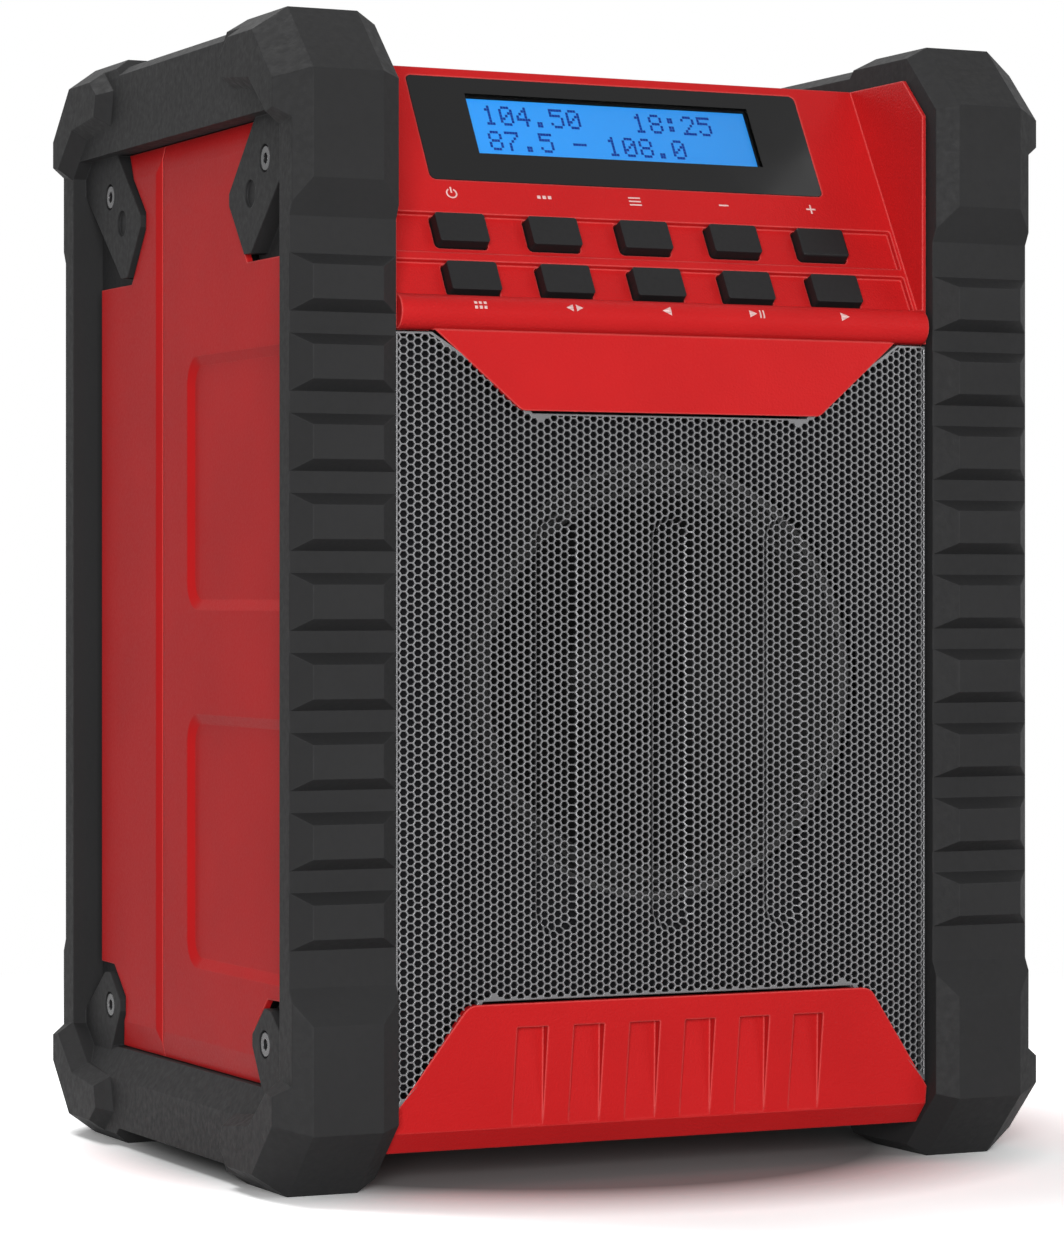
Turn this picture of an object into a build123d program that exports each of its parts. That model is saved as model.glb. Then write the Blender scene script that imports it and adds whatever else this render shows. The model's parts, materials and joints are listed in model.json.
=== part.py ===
"""Jobsite radio: red two-part housing hung between two black side frames.

Millimetres.  X runs across the radio, the front faces -Y, Z is up and
Z = 0 is the ground under the four bottom bumpers.
"""
from build123d import *
from math import atan, cos, degrees, radians, sin
import os

os.makedirs("parts", exist_ok=True)

# ------------------------------------------------------------------ overall
overall_height = 271.0
overall_depth = 161.4
front = -overall_depth / 2
back = overall_depth / 2
fit = 0.3                      # between a housing and the frame around it
seam = 0.3                     # between two shells
wall = 3.0                     # housing wall

# -------------------------------------------------------------- side frames
frame_half_width = 96.9
post_width = 26.2
frame_inner = frame_half_width - post_width
rib_stand = 4.4                # ribs and bumpers stand this proud of the bars
post_thickness = 5.8
rail_height = 19.0
rail_bevel = (4.2, 6.8)         # on the outer edge under the window, across and down
rib_pitch = 18.0
rib_count = 9
rib_foot = 13.1
rib_face = 7.7
flat_inner_bevel = 4.9
flat_outer_bevel = 4.1
bumper_bevel = 2.8
bumper_corner = 15.5
bumper_length = 40.1
bumper_end_slope = 8.5
top_rail_drop = 1.9            # the top rails lie this far below the bumpers
pad_stand = 3.8
ear_face = 93.4
ear_seat = 89.0
web_back = 86.3
screw_from_edge = 28.1
top_screw_drop = 33.4          # from the overall top
bottom_screw_rise = 33.6
blind_pocket_shift = (9.0, -7.4)
ear_recess_d = 6.6
ear_recess_depth = 2.0
blind_pocket_depth = 0.8

# ------------------------------------------------------------------ housing
body_half_width = 92.4
core_half_width = frame_inner - fit
side_front = front + rib_stand + post_thickness + fit
side_back = -side_front
side_bottom = rib_stand + rail_height + fit
side_top = overall_height - rib_stand - rail_height - fit
side_bevel_across = 1.4
side_bevel_up = 6.5
body_bottom = 9.0
body_top = overall_height - 8.4
split_y = front + 99.6
rear_end = back - 19.4
cover_back = back - 7.0
cover_half_width = 85.0
notch_floor = 86.0
notch_clearance = 0.25
seal_inset = 1.9               # centre of the rim seal from the outside
seal_width = 1.2
seal_depth = 0.8
side_panel_depth = 1.2
side_panel_bevel = 2.4
side_panel_start = 3.0         # behind the front edge of the housing side
side_panel_length = 67.5
side_panel_height = 61.0
side_panel_gap = 25.0
side_panel_centre_z = overall_height / 2 - 14.5
crease_depth = 0.8             # shallow groove along the parting line
crease_reach = 3.0

# ------------------------------------------------------------ front details
cheek_y = front + 7.1
cheek_corner = 9.5
cheek_thickness = 1.0
panel_half_width = core_half_width - cheek_thickness
panel_lean = 30.0
panel_foot_y = front + 8.0
panel_foot_z = overall_height - 67.7
roll_radius = 4.2
roll_y = front + 8.1
roll_z = panel_foot_z - 1.5
channel_depth = 1.5
channel_half_width = 68.4
channel_corner = 0.5
plate_top_z = panel_foot_z - 5.5
plate_top_y = front + 5.2
plate_bottom_z = plate_top_z - 18.2
plate_bottom_y = front + 3.9
plate_top_half = 60.6
plate_bottom_half = 39.2
skirt_top_z = 43.0
skirt_top_y = front + 3.4
skirt_top_half = 52.8
skirt_corner = 4.0
plate_corner = 3.0
skirt_low_z = 18.2
skirt_crease_z = 14.0
skirt_crease_y = front + 7.3
skirt_foot_y = front + 11.8
groove_count = 6
groove_pitch = 14.55
groove_width = 7.9
groove_depth = 3.5
groove_top_z = 37.4
baffle_y = front + 9.3
baffle_panel_thickness = 1.0
baffle_opening = 0.38 * (plate_bottom_z - skirt_top_z)

# ------------------------------------------------------------------- grille
grille_y = front + 4.8
grille_sheet = 0.8
grille_gap = 0.6
grille_crease = 57.0
grille_side_drop = 1.7
flute_pitch = 30.0
flute_width = 10.0
flute_length = 96.0
flute_centre_z = overall_height / 2 - 28.5
flute_depth = 1.5

# ------------------------------------------------------- display and buttons
lens_half_width = 52.4
lens_low = 36.0
lens_high = 66.0
lens_thickness = 1.2
window_half_width = 37.8
window_low = 44.3
window_high = 61.2
lcd_clearance = 0.35
lcd_seat = 0.6
button_columns = 5
button_pitch = 24.0
button_rows = (21.7, 8.2)
button_width = 13.2
button_height = 8.4
button_top = 1.2
button_taper = 6.0
button_corner = 1.0
button_clearance = 0.3
button_travel = 0.9
flange_margin = 1.0
flange_thickness = 1.2
mat_thickness = 2.6
board_thickness = 1.6
board_half_width = 64.0
board_boss_x = 61.0
board_boss_s = (3.0, 60.0)
board_boss_d = 5.0
board_screw_d = 2.2

# ------------------------------------------------------------------ speaker
speaker_z = overall_height / 2 - 18.5
speaker_opening = 52.0
speaker_flange = 61.0
speaker_flange_thickness = 2.0
gasket_thickness = 1.0
speaker_screw_circle = 57.5
speaker_screw_d = 3.0
cone_outer = 44.0
surround_inner = 44.0
surround_outer = 51.0
coil_radius = 16.0
cone_depth = 16.0
basket_depth = 26.0
basket_back_radius = 32.0
magnet_radius = 38.0
magnet_thickness = 15.0

# ----------------------------------------------------- battery, door, boards
bay_wall = 2.5
pack_width = 90.0
pack_height = 58.0
pack_depth = 59.0
pack_bottom = 32.0
pack_clearance = 0.5
pack_corner = 3.0
contact_depth = 2.6
door_gap = 0.4
door_thickness = 3.0
door_half_width = 49.0
door_bottom = 28.0
door_top = 94.0
door_seal_thickness = 0.7
door_seal_width = 2.4
hinge_pin_d = 2.4
pin_clearance = 0.1
knuckle_d = 5.2
hinge_axis_y = cover_back + seam + knuckle_d / 2
hinge_axis_z = 24.6
knuckle_length = 12.0
knuckle_gap = 0.3
main_board_y = rear_end - 11.3
main_board_half_width = 60.0
main_board_z = (door_top + 18.0, body_top - 35.4)
board_post_inset = 5.0
board_margin = (8.0, 10.0)

# ------------------------------------------------------------------ antenna
antenna_x = 50.0
antenna_y = back - 3.3
bracket_z = (126.0, 134.0)
bracket_width = 11.0
spigot_floor = 2.0
turret_radius = 3.3
turret_top = 138.0
elbow_z = 142.6
tongue_width = 2.4
tongue_radius = 2.4
spigot_radius = 2.0
antenna_pin_d = 1.6
rod_bottom = elbow_z + 4.4
rod_top = body_top - 17.4
rod_radii = (3.0, 2.3, 1.7)
rod_wall = 0.5
rod_clearance = 0.2
rod_step = 1.2
antenna_tip = 8.0

# ------------------------------------------------------------------ sockets
socket_x = -40.0
socket_z = 152.0
socket_pitch = 16.0
socket_recess = (38.0, 18.0, 5.0)
socket_bore = 8.4
flap_thickness = 2.0
flap_margin = 2.5
flap_barrel_d = 3.0
flap_pin_d = 1.4
flap_lug = 2.4

# ------------------------------------------------------------------- screws
screw_d = 3.0
screw_head_d = 5.6
screw_head_h = 1.8
screw_length = 14.0
boss_d = 8.0


# ------------------------------------------------------------------ helpers
def block(x, y, z, mode=Mode.ADD):
    """Box between (low, high) pairs."""
    centre = ((x[0] + x[1]) / 2, (y[0] + y[1]) / 2, (z[0] + z[1]) / 2)
    with Locations(centre):
        Box(x[1] - x[0], y[1] - y[0], z[1] - z[0], mode=mode)


def facing(y):
    """Plane at depth y that looks to the front."""
    return Plane.XZ.offset(-y)


def outward(x):
    """Plane across the radio at x that looks to +X, drawn in depth and height."""
    return Plane.YZ.offset(x)


def face_from(points, mode=Mode.ADD):
    """Filled outline through the points, in the open sketch."""
    Polygon(*points, align=None, mode=mode)


def rod(start, direction, radius, length, mode=Mode.ADD):
    """Round bar from start along direction."""
    with Locations(Plane(start, z_dir=direction)):
        Cylinder(radius, length, align=(Align.CENTER, Align.CENTER, Align.MIN), mode=mode)


def finish(part, name):
    """Name a finished sub-part and write its STEP file."""
    part.label = name
    export_step(part, f"parts/{name}.step")


# Panel plane: local x across, local y up the slope, local z out of the panel.
panel = Plane(
    (0, panel_foot_y, panel_foot_z),
    x_dir=(1, 0, 0),
    z_dir=(0, -cos(radians(panel_lean)), sin(radians(panel_lean))),
)


def on_panel(s, n=0.0):
    """Depth and height of the panel point s up the slope, n out of it."""
    y = panel_foot_y + s * sin(radians(panel_lean)) - n * cos(radians(panel_lean))
    z = panel_foot_z + s * cos(radians(panel_lean)) + n * sin(radians(panel_lean))
    return y, z


# --------------------------------------------------------------- side frame
def frame_outline(inset):
    """Side outline of a frame; inset bevels only the bumper faces."""
    slope = bumper_end_slope / rib_stand
    corner = bumper_corner + (2 ** 0.5 - 1) * inset
    bumper = [
        (rib_stand, bumper_length + bumper_end_slope),
        (inset, bumper_length + slope * inset),
        (inset, corner),
        (corner, inset),
    ]
    low = bumper + [(bumper_length + inset, inset),
                    (bumper_length + rib_stand, rib_stand)]
    high = bumper + [(bumper_length + inset, inset),
                     (bumper_length + inset + top_rail_drop, inset + top_rail_drop)]
    low_front = [(front + d, h) for d, h in low]
    low_back = [(back - d, h) for d, h in reversed(low)]
    high_back = [(back - d, overall_height - h) for d, h in high]
    high_front = [(front + d, overall_height - h) for d, h in reversed(high)]
    return low_front + low_back + high_back + high_front


# Outlines as (depth from the front or back plane, distance from the top or the ground).
top_ear = [(9.0, 30.6), (36.7, 54.6), (40.9, 54.6), (50.5, 42.6),
           (50.5, 39.8), (32.9, 22.4), (9.0, 22.4)]
bottom_ear = [(9.0, 30.2), (24.5, 41.6), (28.2, 41.9), (35.7, 35.3),
              (35.7, 32.6), (29.2, 22.4), (9.0, 22.4)]
top_notch = [(10.2, 56.4), (41.6, 56.4), (51.9, 43.3),
             (51.9, 39.1), (34.8, 22.0), (10.2, 22.0)]
bottom_notch = [(10.2, 44.2), (28.8, 43.9), (37.2, 36.4),
                (37.2, 31.8), (31.0, 22.0), (10.2, 22.0)]
pad_corner = bumper_corner + (2 ** 0.5 - 1) * bumper_bevel
pad_foot = [(bumper_bevel, pad_corner), (pad_corner, bumper_bevel), (34.0, bumper_bevel),
            (40.8, 8.1), (38.5, 16.7), (21.0, 18.5), (9.9, 27.7), (bumper_bevel, 26.5)]
pad_taper = degrees(atan(bumper_bevel / flat_outer_bevel))


def at_front(points):
    return [(front + d, z) for d, z in points]


def at_back(points):
    return [(back - d, z) for d, z in points]


def upside(points):
    return [(d, overall_height - z) for d, z in points]


top_ear = upside(top_ear)
top_notch = upside(top_notch)


def shrunk(points, amount):
    """Outline drawn inward by amount."""
    with BuildSketch() as outline:
        face_from(points)
        offset(amount=-amount, kind=Kind.INTERSECTION, mode=Mode.REPLACE)
    return outline.sketch


ear_screws = []
for edge, inward in ((front, 1), (back, -1)):
    ear_screws.append((edge + inward * screw_from_edge, overall_height - top_screw_drop))
    ear_screws.append((edge + inward * screw_from_edge, bottom_screw_rise))

with BuildPart() as right_side_frame:
    flat_from = frame_inner + flat_inner_bevel
    flat_to = frame_half_width - flat_outer_bevel
    layers = [(frame_inner, bumper_bevel), (flat_from, 0.0), (flat_to, 0.0),
              (frame_half_width, bumper_bevel)]
    for (x_a, inset_a), (x_b, inset_b) in zip(layers, layers[1:]):
        with BuildSketch(outward(x_a)):
            face_from(frame_outline(inset_a))
        with BuildSketch(outward(x_b)):
            face_from(frame_outline(inset_b))
        loft(ruled=True)
    window_y = back - rib_stand - post_thickness
    window_z = (rib_stand + rail_height, overall_height - rib_stand - rail_height)
    block((frame_inner - 1, frame_half_width + 1), (-window_y, window_y), window_z,
          mode=Mode.SUBTRACT)
    with BuildSketch(Plane.XZ):
        face_from([(frame_half_width, window_z[0] - rail_bevel[1]),
                   (frame_half_width + 1, window_z[0] - rail_bevel[1]),
                   (frame_half_width + 1, window_z[0]),
                   (frame_half_width - rail_bevel[0], window_z[0])])
    extrude(amount=window_y, both=True, mode=Mode.SUBTRACT)
    # ribs on the front and rear posts
    first_rib = overall_height / 2 - rib_pitch * (rib_count - 1) / 2
    for index in range(rib_count):
        rib_z = first_rib + index * rib_pitch
        for y, direction in ((front, -1), (back, 1)):
            foot = Plane((0, y - direction * rib_stand, rib_z), x_dir=(1, 0, 0),
                         z_dir=(0, direction, 0))
            with BuildSketch(foot):
                with Locations(((frame_inner + frame_half_width) / 2, 0)):
                    Rectangle(post_width, rib_foot)
            with BuildSketch(foot.offset(rib_stand)):
                with Locations(((flat_from + flat_to) / 2, 0)):
                    Rectangle(flat_to - flat_from, rib_face)
            loft()
    # corner webs with the raised screw ears, and the side pads
    for place in (at_front, at_back):
        for notch, ear in ((top_notch, top_ear), (bottom_notch, bottom_ear)):
            with BuildSketch(outward(web_back)):
                add(shrunk(place(notch), notch_clearance))
            extrude(amount=ear_seat - web_back)
            with BuildSketch(outward(ear_seat)):
                face_from(place(ear))
            extrude(amount=ear_face - ear_seat)
        for turn in (list, upside):
            with BuildSketch(outward(frame_half_width)):
                face_from(place(turn(pad_foot)))
            extrude(amount=pad_stand, taper=pad_taper)
            with BuildSketch(outward(frame_half_width)):
                face_from(place(turn(pad_foot)))
            extrude(amount=-rail_bevel[0])
    # screw recesses and the blind pocket beside each top screw
    for y, z in ear_screws:
        rod((ear_face, y, z), (-1, 0, 0), ear_recess_d / 2, ear_recess_depth,
            mode=Mode.SUBTRACT)
        rod((ear_face, y, z), (-1, 0, 0), screw_d / 2 + 0.2, 12.0, mode=Mode.SUBTRACT)
        if z > overall_height / 2:
            inward = 1 if y < 0 else -1
            pocket = (ear_face, y + inward * blind_pocket_shift[0],
                      z + blind_pocket_shift[1])
            rod(pocket, (-1, 0, 0), ear_recess_d / 2, blind_pocket_depth,
                mode=Mode.SUBTRACT)
finish(right_side_frame.part, "right_side_frame")

with BuildPart() as left_side_frame:
    mirror(right_side_frame.part, about=Plane.YZ)
finish(left_side_frame.part, "left_side_frame")


# ----------------------------------------------------------------- housings
split_front = split_y - seam / 2
split_rear = split_y + seam / 2
baffle_back = baffle_y + wall
channels = ((1.0, 13.0), (15.2, 26.4))
flange_n = -(wall + seam)
mat_n = flange_n - flange_thickness - button_travel - seam
board_n = mat_n - mat_thickness - seam
board_bosses = [(x, s) for x in (-board_boss_x, board_boss_x) for s in board_boss_s]
button_xs = [(index - (button_columns - 1) / 2) * button_pitch
             for index in range(button_columns)]
key_low = min(button_rows) - button_height / 2 - flange_margin
key_high = max(button_rows) + button_height / 2 + flange_margin
key_half_width = button_xs[-1] + button_width / 2 + flange_margin
shell_screw_x = 81.0
shell_screw_zs = (side_bottom + 42.3, side_top - 47.3)
shell_tab_thickness = 3.0
cover_screws = [(x, z) for x in (-61.0, 61.0) for z in (body_bottom + 10.0, body_top - 10.4)]
cover_screw_recess = 2.2


def side_section(inset):
    """Cross-section between the frames, with the long side edges bevelled."""
    low, high = side_bottom + inset, side_top - inset
    wide = body_half_width - inset
    narrow = wide - side_bevel_across
    face_from([
        (wide, low + side_bevel_up), (wide, high - side_bevel_up), (narrow, high),
        (-narrow, high), (-wide, high - side_bevel_up), (-wide, low + side_bevel_up),
        (-narrow, low), (narrow, low),
    ])


def core_section(inset):
    """Cross-section of the middle part that rises between the frames."""
    with Locations((0, (body_bottom + body_top) / 2)):
        Rectangle(2 * (core_half_width - inset), body_top - body_bottom - 2 * inset)


def notch_blocks(place, floor, grow, depth):
    """Blocks that fill the corner notches of both sides from floor outward."""
    with BuildPart() as blocks:
        for notch in (top_notch, bottom_notch):
            with BuildSketch(outward(floor)):
                add(shrunk(place(notch), -grow))
            extrude(amount=depth)
        mirror(about=Plane.YZ)
        block((-body_half_width - 1, body_half_width + 1), (side_front, side_back),
              (side_bottom, side_top), mode=Mode.INTERSECT)
    return blocks.part


def frame_screw_rods(radius, start, length):
    """Round bars along the frame screws, from start towards the middle."""
    with BuildPart() as bars:
        for y, z in ear_screws:
            for side in (1, -1):
                rod((side * start, y, z), (-side, 0, 0), radius, length)
    return bars.part


def rim_band(deep):
    """Band round the middle of the housing rim, deep into the front half."""
    with BuildPart() as band:
        for inset, mode in ((seal_inset - seal_width / 2, Mode.ADD),
                            (seal_inset + seal_width / 2, Mode.SUBTRACT)):
            with BuildSketch(facing(split_rear)):
                side_section(inset)
                core_section(inset)
            extrude(amount=seam + deep, mode=mode)
    return band.part


def crease_prisms():
    """Bars that cut the shallow groove along the parting line of both sides."""
    with BuildPart() as prisms:
        with BuildSketch(Plane.XY):
            face_from([(body_half_width - crease_depth, split_y),
                       (body_half_width, split_y - crease_reach),
                       (body_half_width + 1, split_y - crease_reach),
                       (body_half_width + 1, split_y + crease_reach),
                       (body_half_width, split_y + crease_reach)])
        extrude(amount=overall_height)
        mirror(about=Plane.YZ)
    return prisms.part


notch_rim = 2.5
frame_pilots = frame_screw_rods(screw_d / 2, notch_floor + 1.0, screw_length)
front_backing = notch_blocks(at_front, notch_floor - wall, notch_rim, 2 * wall)
front_notches = notch_blocks(at_front, notch_floor, 0.0, 10.0)
rear_backing = notch_blocks(at_back, notch_floor - wall, notch_rim, 2 * wall)
rear_notches = notch_blocks(at_back, notch_floor, 0.0, 10.0)
parting_crease = crease_prisms()


def grille_outline(inset, half_width):
    """Outline of the grille field: over the skirt, round the nameplate."""
    lean_top = (plate_top_half - plate_bottom_half) / (plate_top_z - plate_bottom_z)
    lean_low = (core_half_width - skirt_top_half) / (skirt_top_z - skirt_low_z)
    low_z = skirt_top_z - (half_width - skirt_top_half) / lean_low
    skirt_z = skirt_top_z + inset
    plate_z = plate_bottom_z - inset
    outline = [
        (half_width - inset, plate_top_z - inset),
        (plate_top_half + inset * lean_top, plate_top_z - inset),
        (plate_bottom_half, plate_z),
        (-plate_bottom_half, plate_z),
        (-plate_top_half - inset * lean_top, plate_top_z - inset),
        (-half_width + inset, plate_top_z - inset),
        (-half_width + inset, low_z + 2 * inset),
        (-skirt_top_half, skirt_z),
        (skirt_top_half, skirt_z),
        (half_width - inset, low_z + 2 * inset),
    ]
    with BuildSketch() as field:
        face_from(outline)
        for corner_z, radius in ((plate_z, plate_corner + inset),
                                 (skirt_z, skirt_corner + inset)):
            ends = [point for point in field.vertices() if abs(point.Y - corner_z) < 0.01]
            fillet(ends, radius)
    return field.sketch


inner_foot = (baffle_back - on_panel(0, -wall)[0]) / sin(radians(panel_lean))
inner_head = (body_top - wall - on_panel(0, -wall)[1]) / cos(radians(panel_lean))

with BuildPart() as front_housing:
    with BuildSketch(facing(side_front)):
        side_section(0)
    extrude(amount=side_front - split_front)
    with BuildSketch(Plane.YZ):
        face_from([
            (split_front, body_bottom), (skirt_foot_y, body_bottom),
            (skirt_crease_y, skirt_crease_z), (skirt_top_y, skirt_top_z),
            (plate_bottom_y, plate_bottom_z), (plate_top_y, plate_top_z),
            (cheek_y, plate_top_z), (cheek_y, body_top - cheek_corner),
            (cheek_y + cheek_corner, body_top), (split_front, body_top),
        ])
    extrude(amount=core_half_width, both=True)
    # sloping panel between the cheeks, its two button channels and the roll
    beyond = on_panel(2 * lens_high)
    with BuildSketch(Plane.YZ):
        face_from([on_panel(1.0), beyond, (front - wall, beyond[1]),
                   (front - wall, on_panel(1.0)[1])])
    extrude(amount=panel_half_width, both=True, mode=Mode.SUBTRACT)
    for low, high in channels:
        with BuildSketch(panel):
            with Locations((0, (low + high) / 2)):
                RectangleRounded(2 * channel_half_width, high - low, channel_corner)
        extrude(amount=-channel_depth, mode=Mode.SUBTRACT)
    rod((-panel_half_width, roll_y, roll_z), (1, 0, 0), roll_radius, 2 * panel_half_width)
    # field for the grille, and the tapered grooves of the skirt
    with BuildSketch(facing(baffle_y)):
        add(grille_outline(0, core_half_width + 4))
    extrude(amount=2 * wall + 10, mode=Mode.SUBTRACT)
    groove_floor = skirt_top_y + groove_depth
    for index in range(groove_count):
        x = (index - (groove_count - 1) / 2) * groove_pitch
        with BuildSketch(outward(x - groove_width / 2)):
            face_from([(front, groove_top_z), (groove_floor, groove_top_z),
                       (skirt_crease_y, skirt_crease_z + 0.4),
                       (front, skirt_crease_z + 0.4)])
        extrude(amount=groove_width, mode=Mode.SUBTRACT)
    # inside: side chambers, then the middle behind the panel and the baffle
    with BuildSketch(facing(side_front + wall)):
        side_section(wall)
        Rectangle(2 * core_half_width, 2 * overall_height, mode=Mode.SUBTRACT)
    extrude(amount=side_front + wall - split_y, mode=Mode.SUBTRACT)
    inner_profile = [
        (split_y, body_bottom + wall), (skirt_foot_y + wall, body_bottom + wall),
        (baffle_back, skirt_crease_z + wall), (baffle_back, on_panel(inner_foot, -wall)[1]),
        on_panel(inner_head, -wall), (split_y, body_top - wall),
    ]
    for half_width, low, high in (
        (core_half_width - wall, body_bottom, body_top),
        (core_half_width + 0.1, side_bottom + wall, side_top - wall),
    ):
        with BuildSketch(Plane.YZ):
            face_from(inner_profile)
            with Locations((0, (low + high) / 2)):
                Rectangle(2 * overall_depth, high - low, mode=Mode.INTERSECT)
        extrude(amount=half_width, both=True, mode=Mode.SUBTRACT)
    with BuildSketch(panel.offset(-wall)):
        with Locations((0, (key_low + key_high) / 2)):
            Rectangle(2 * (key_half_width + seam), key_high - key_low + 2 * seam)
    extrude(amount=mat_n - mat_thickness, mode=Mode.SUBTRACT)
    add(front_backing)
    add(front_notches, mode=Mode.SUBTRACT)
    add(parting_crease, mode=Mode.SUBTRACT)
    # shallow panels on both sides
    panel_y = side_front + side_panel_start + side_panel_length / 2
    for side in (1, -1):
        face = Plane((side * body_half_width, panel_y, side_panel_centre_z),
                     x_dir=(0, side, 0), z_dir=(side, 0, 0))
        for shift in (1, -1):
            drop = shift * (side_panel_height + side_panel_gap) / 2
            with BuildSketch(face.offset(0.01)):
                with Locations((0, drop)):
                    RectangleRounded(side_panel_length, side_panel_height, 7.0)
            with BuildSketch(face.offset(-side_panel_depth)):
                with Locations((0, drop)):
                    RectangleRounded(side_panel_length - 2 * side_panel_bevel,
                                     side_panel_height - 2 * side_panel_bevel, 5.0)
            loft(mode=Mode.SUBTRACT)
    # speaker opening, lens seat, display window and button holes
    with BuildSketch(facing(baffle_back + 1)):
        with Locations((0, speaker_z)):
            Circle(speaker_opening)
    extrude(amount=wall + 2, mode=Mode.SUBTRACT)
    with BuildSketch(panel):
        with Locations((0, (lens_low + lens_high) / 2)):
            RectangleRounded(2 * (lens_half_width + seam / 2),
                             lens_high - lens_low + seam, 1.6)
    extrude(amount=-lens_thickness, mode=Mode.SUBTRACT)
    with BuildSketch(panel):
        with Locations((0, (window_low + window_high) / 2)):
            Rectangle(2 * window_half_width, window_high - window_low)
        with Locations(*[(x, s) for x in button_xs for s in button_rows]):
            RectangleRounded(button_width + 2 * button_clearance,
                             button_height + 2 * button_clearance,
                             button_corner + button_clearance)
    extrude(amount=-wall - 1, mode=Mode.SUBTRACT)
    for angle in (45, 135, 225, 315):
        x = speaker_screw_circle * cos(radians(angle))
        z = speaker_z + speaker_screw_circle * sin(radians(angle))
        rod((x, baffle_back, z), (0, -1, 0), speaker_screw_d / 2, 2.0, mode=Mode.SUBTRACT)
    # bosses for the key board, the frame screws and the shell screws
    with BuildSketch(panel.offset(-wall + 0.5)):
        with Locations(*board_bosses):
            Circle(board_boss_d / 2)
    extrude(amount=board_n + wall - 0.5)
    with BuildSketch(panel.offset(-wall)):
        with Locations(*board_bosses):
            Circle(board_screw_d / 2)
    extrude(amount=board_n + wall, mode=Mode.SUBTRACT)
    for y, z in ear_screws:
        if y < split_y:
            for side in (1, -1):
                start = side * (notch_floor - 1.0)
                rod((start, y, z), (-side, 0, 0), boss_d / 2, screw_length - 4)
    add(frame_pilots, mode=Mode.SUBTRACT)
    for z in shell_screw_zs:
        for side in (1, -1):
            block(sorted((side * shell_screw_x, side * (body_half_width - 1))),
                  (split_front - 15.0, split_front), (z - 2, z + 2))
            rod((side * shell_screw_x, split_front, z), (0, -1, 0), boss_d / 2, 15.0)
            rod((side * shell_screw_x, split_front, z), (0, -1, 0), screw_d / 2,
                screw_length, mode=Mode.SUBTRACT)
    add(rim_band(seal_depth), mode=Mode.SUBTRACT)
finish(front_housing.part, "front_housing")

with BuildPart() as housing_seal:
    add(rim_band(seal_depth))
finish(housing_seal.part, "housing_seal")

# ------------------------------------------------------------- rear housing
bay_half_width = pack_width / 2 + pack_clearance
bay_z = (pack_bottom - pack_clearance, pack_bottom + pack_height + pack_clearance)
door_inner = cover_back - door_thickness
pack_rear = door_inner - seam
pack_front = pack_rear - pack_depth
pack_z = (pack_bottom, pack_bottom + pack_height)
bay_front = pack_front - contact_depth

with BuildPart() as rear_housing:
    with BuildSketch(facing(split_rear)):
        side_section(0)
        core_section(0)
    extrude(amount=split_rear - rear_end)
    with BuildSketch(facing(split_rear)):
        side_section(wall)
        core_section(wall)
    extrude(amount=split_rear - rear_end + wall, mode=Mode.SUBTRACT)
    add(rear_backing)
    for y, z in ear_screws:
        if y > split_y:
            for side in (1, -1):
                start = side * (notch_floor - 1.0)
                rod((start, y, z), (-side, 0, 0), boss_d / 2, screw_length - 4)
    add(rear_notches, mode=Mode.SUBTRACT)
    add(parting_crease, mode=Mode.SUBTRACT)
    add(frame_pilots, mode=Mode.SUBTRACT)
    block((-body_half_width - 1, body_half_width + 1), (rear_end, side_back + 1),
          (0, overall_height), mode=Mode.SUBTRACT)
    block((-body_half_width - 1, body_half_width + 1), (0, split_rear),
          (0, overall_height), mode=Mode.SUBTRACT)
    # battery bay on two ribs
    block((-bay_half_width - bay_wall, bay_half_width + bay_wall),
          (bay_front - bay_wall, rear_end), (bay_z[0] - bay_wall, bay_z[1] + bay_wall))
    for x in (-bay_half_width / 2, bay_half_width / 2):
        block((x - bay_wall / 2, x + bay_wall / 2), (split_rear, rear_end),
              (body_bottom + wall / 2, bay_z[0] - bay_wall / 2))
    block((-bay_half_width, bay_half_width), (bay_front, rear_end + 1), bay_z,
          mode=Mode.SUBTRACT)
    block((-main_board_half_width, main_board_half_width),
          (rear_end - wall - 1, rear_end + 1),
          (main_board_z[0] - board_margin[0], main_board_z[1] + board_margin[1]),
          mode=Mode.SUBTRACT)
    # tabs for the shell screws, bosses for the cover screws
    for z in shell_screw_zs:
        for side in (1, -1):
            tab = sorted((side * (shell_screw_x - boss_d / 2), side * (body_half_width - 1)))
            block(tab, (split_rear, split_rear + shell_tab_thickness),
                  (z - boss_d / 2, z + boss_d / 2))
            rod((side * shell_screw_x, split_rear - 1, z), (0, 1, 0), screw_d / 2 + 0.2,
                shell_tab_thickness + 2, mode=Mode.SUBTRACT)
    for x, z in cover_screws:
        rod((x, rear_end - wall / 2, z), (0, -1, 0), boss_d / 2, screw_length)
        rod((x, rear_end + 1, z), (0, -1, 0), screw_d / 2, screw_length - 2,
            mode=Mode.SUBTRACT)
finish(rear_housing.part, "rear_housing")

# --------------------------------------------------------------- back cover
cover_front = rear_end + seam
door_opening = (door_half_width + door_gap, door_bottom - door_gap, door_top + door_gap)
seal_back = door_inner - seam - door_seal_thickness
flap_x = (socket_x - socket_recess[0] / 2 - flap_margin,
          socket_x + socket_recess[0] / 2 + flap_margin)
flap_z = (socket_z - socket_recess[1] / 2 - flap_margin,
          socket_z + socket_recess[1] / 2 + flap_margin)
flap_axis = (flap_x[0] - flap_barrel_d / 2, cover_back + seam + flap_barrel_d / 2)

board_points = [(x, z) for x in (-main_board_half_width + board_post_inset,
                                 main_board_half_width - board_post_inset)
                for z in (main_board_z[0] + board_post_inset,
                          main_board_z[1] - board_post_inset)]

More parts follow.
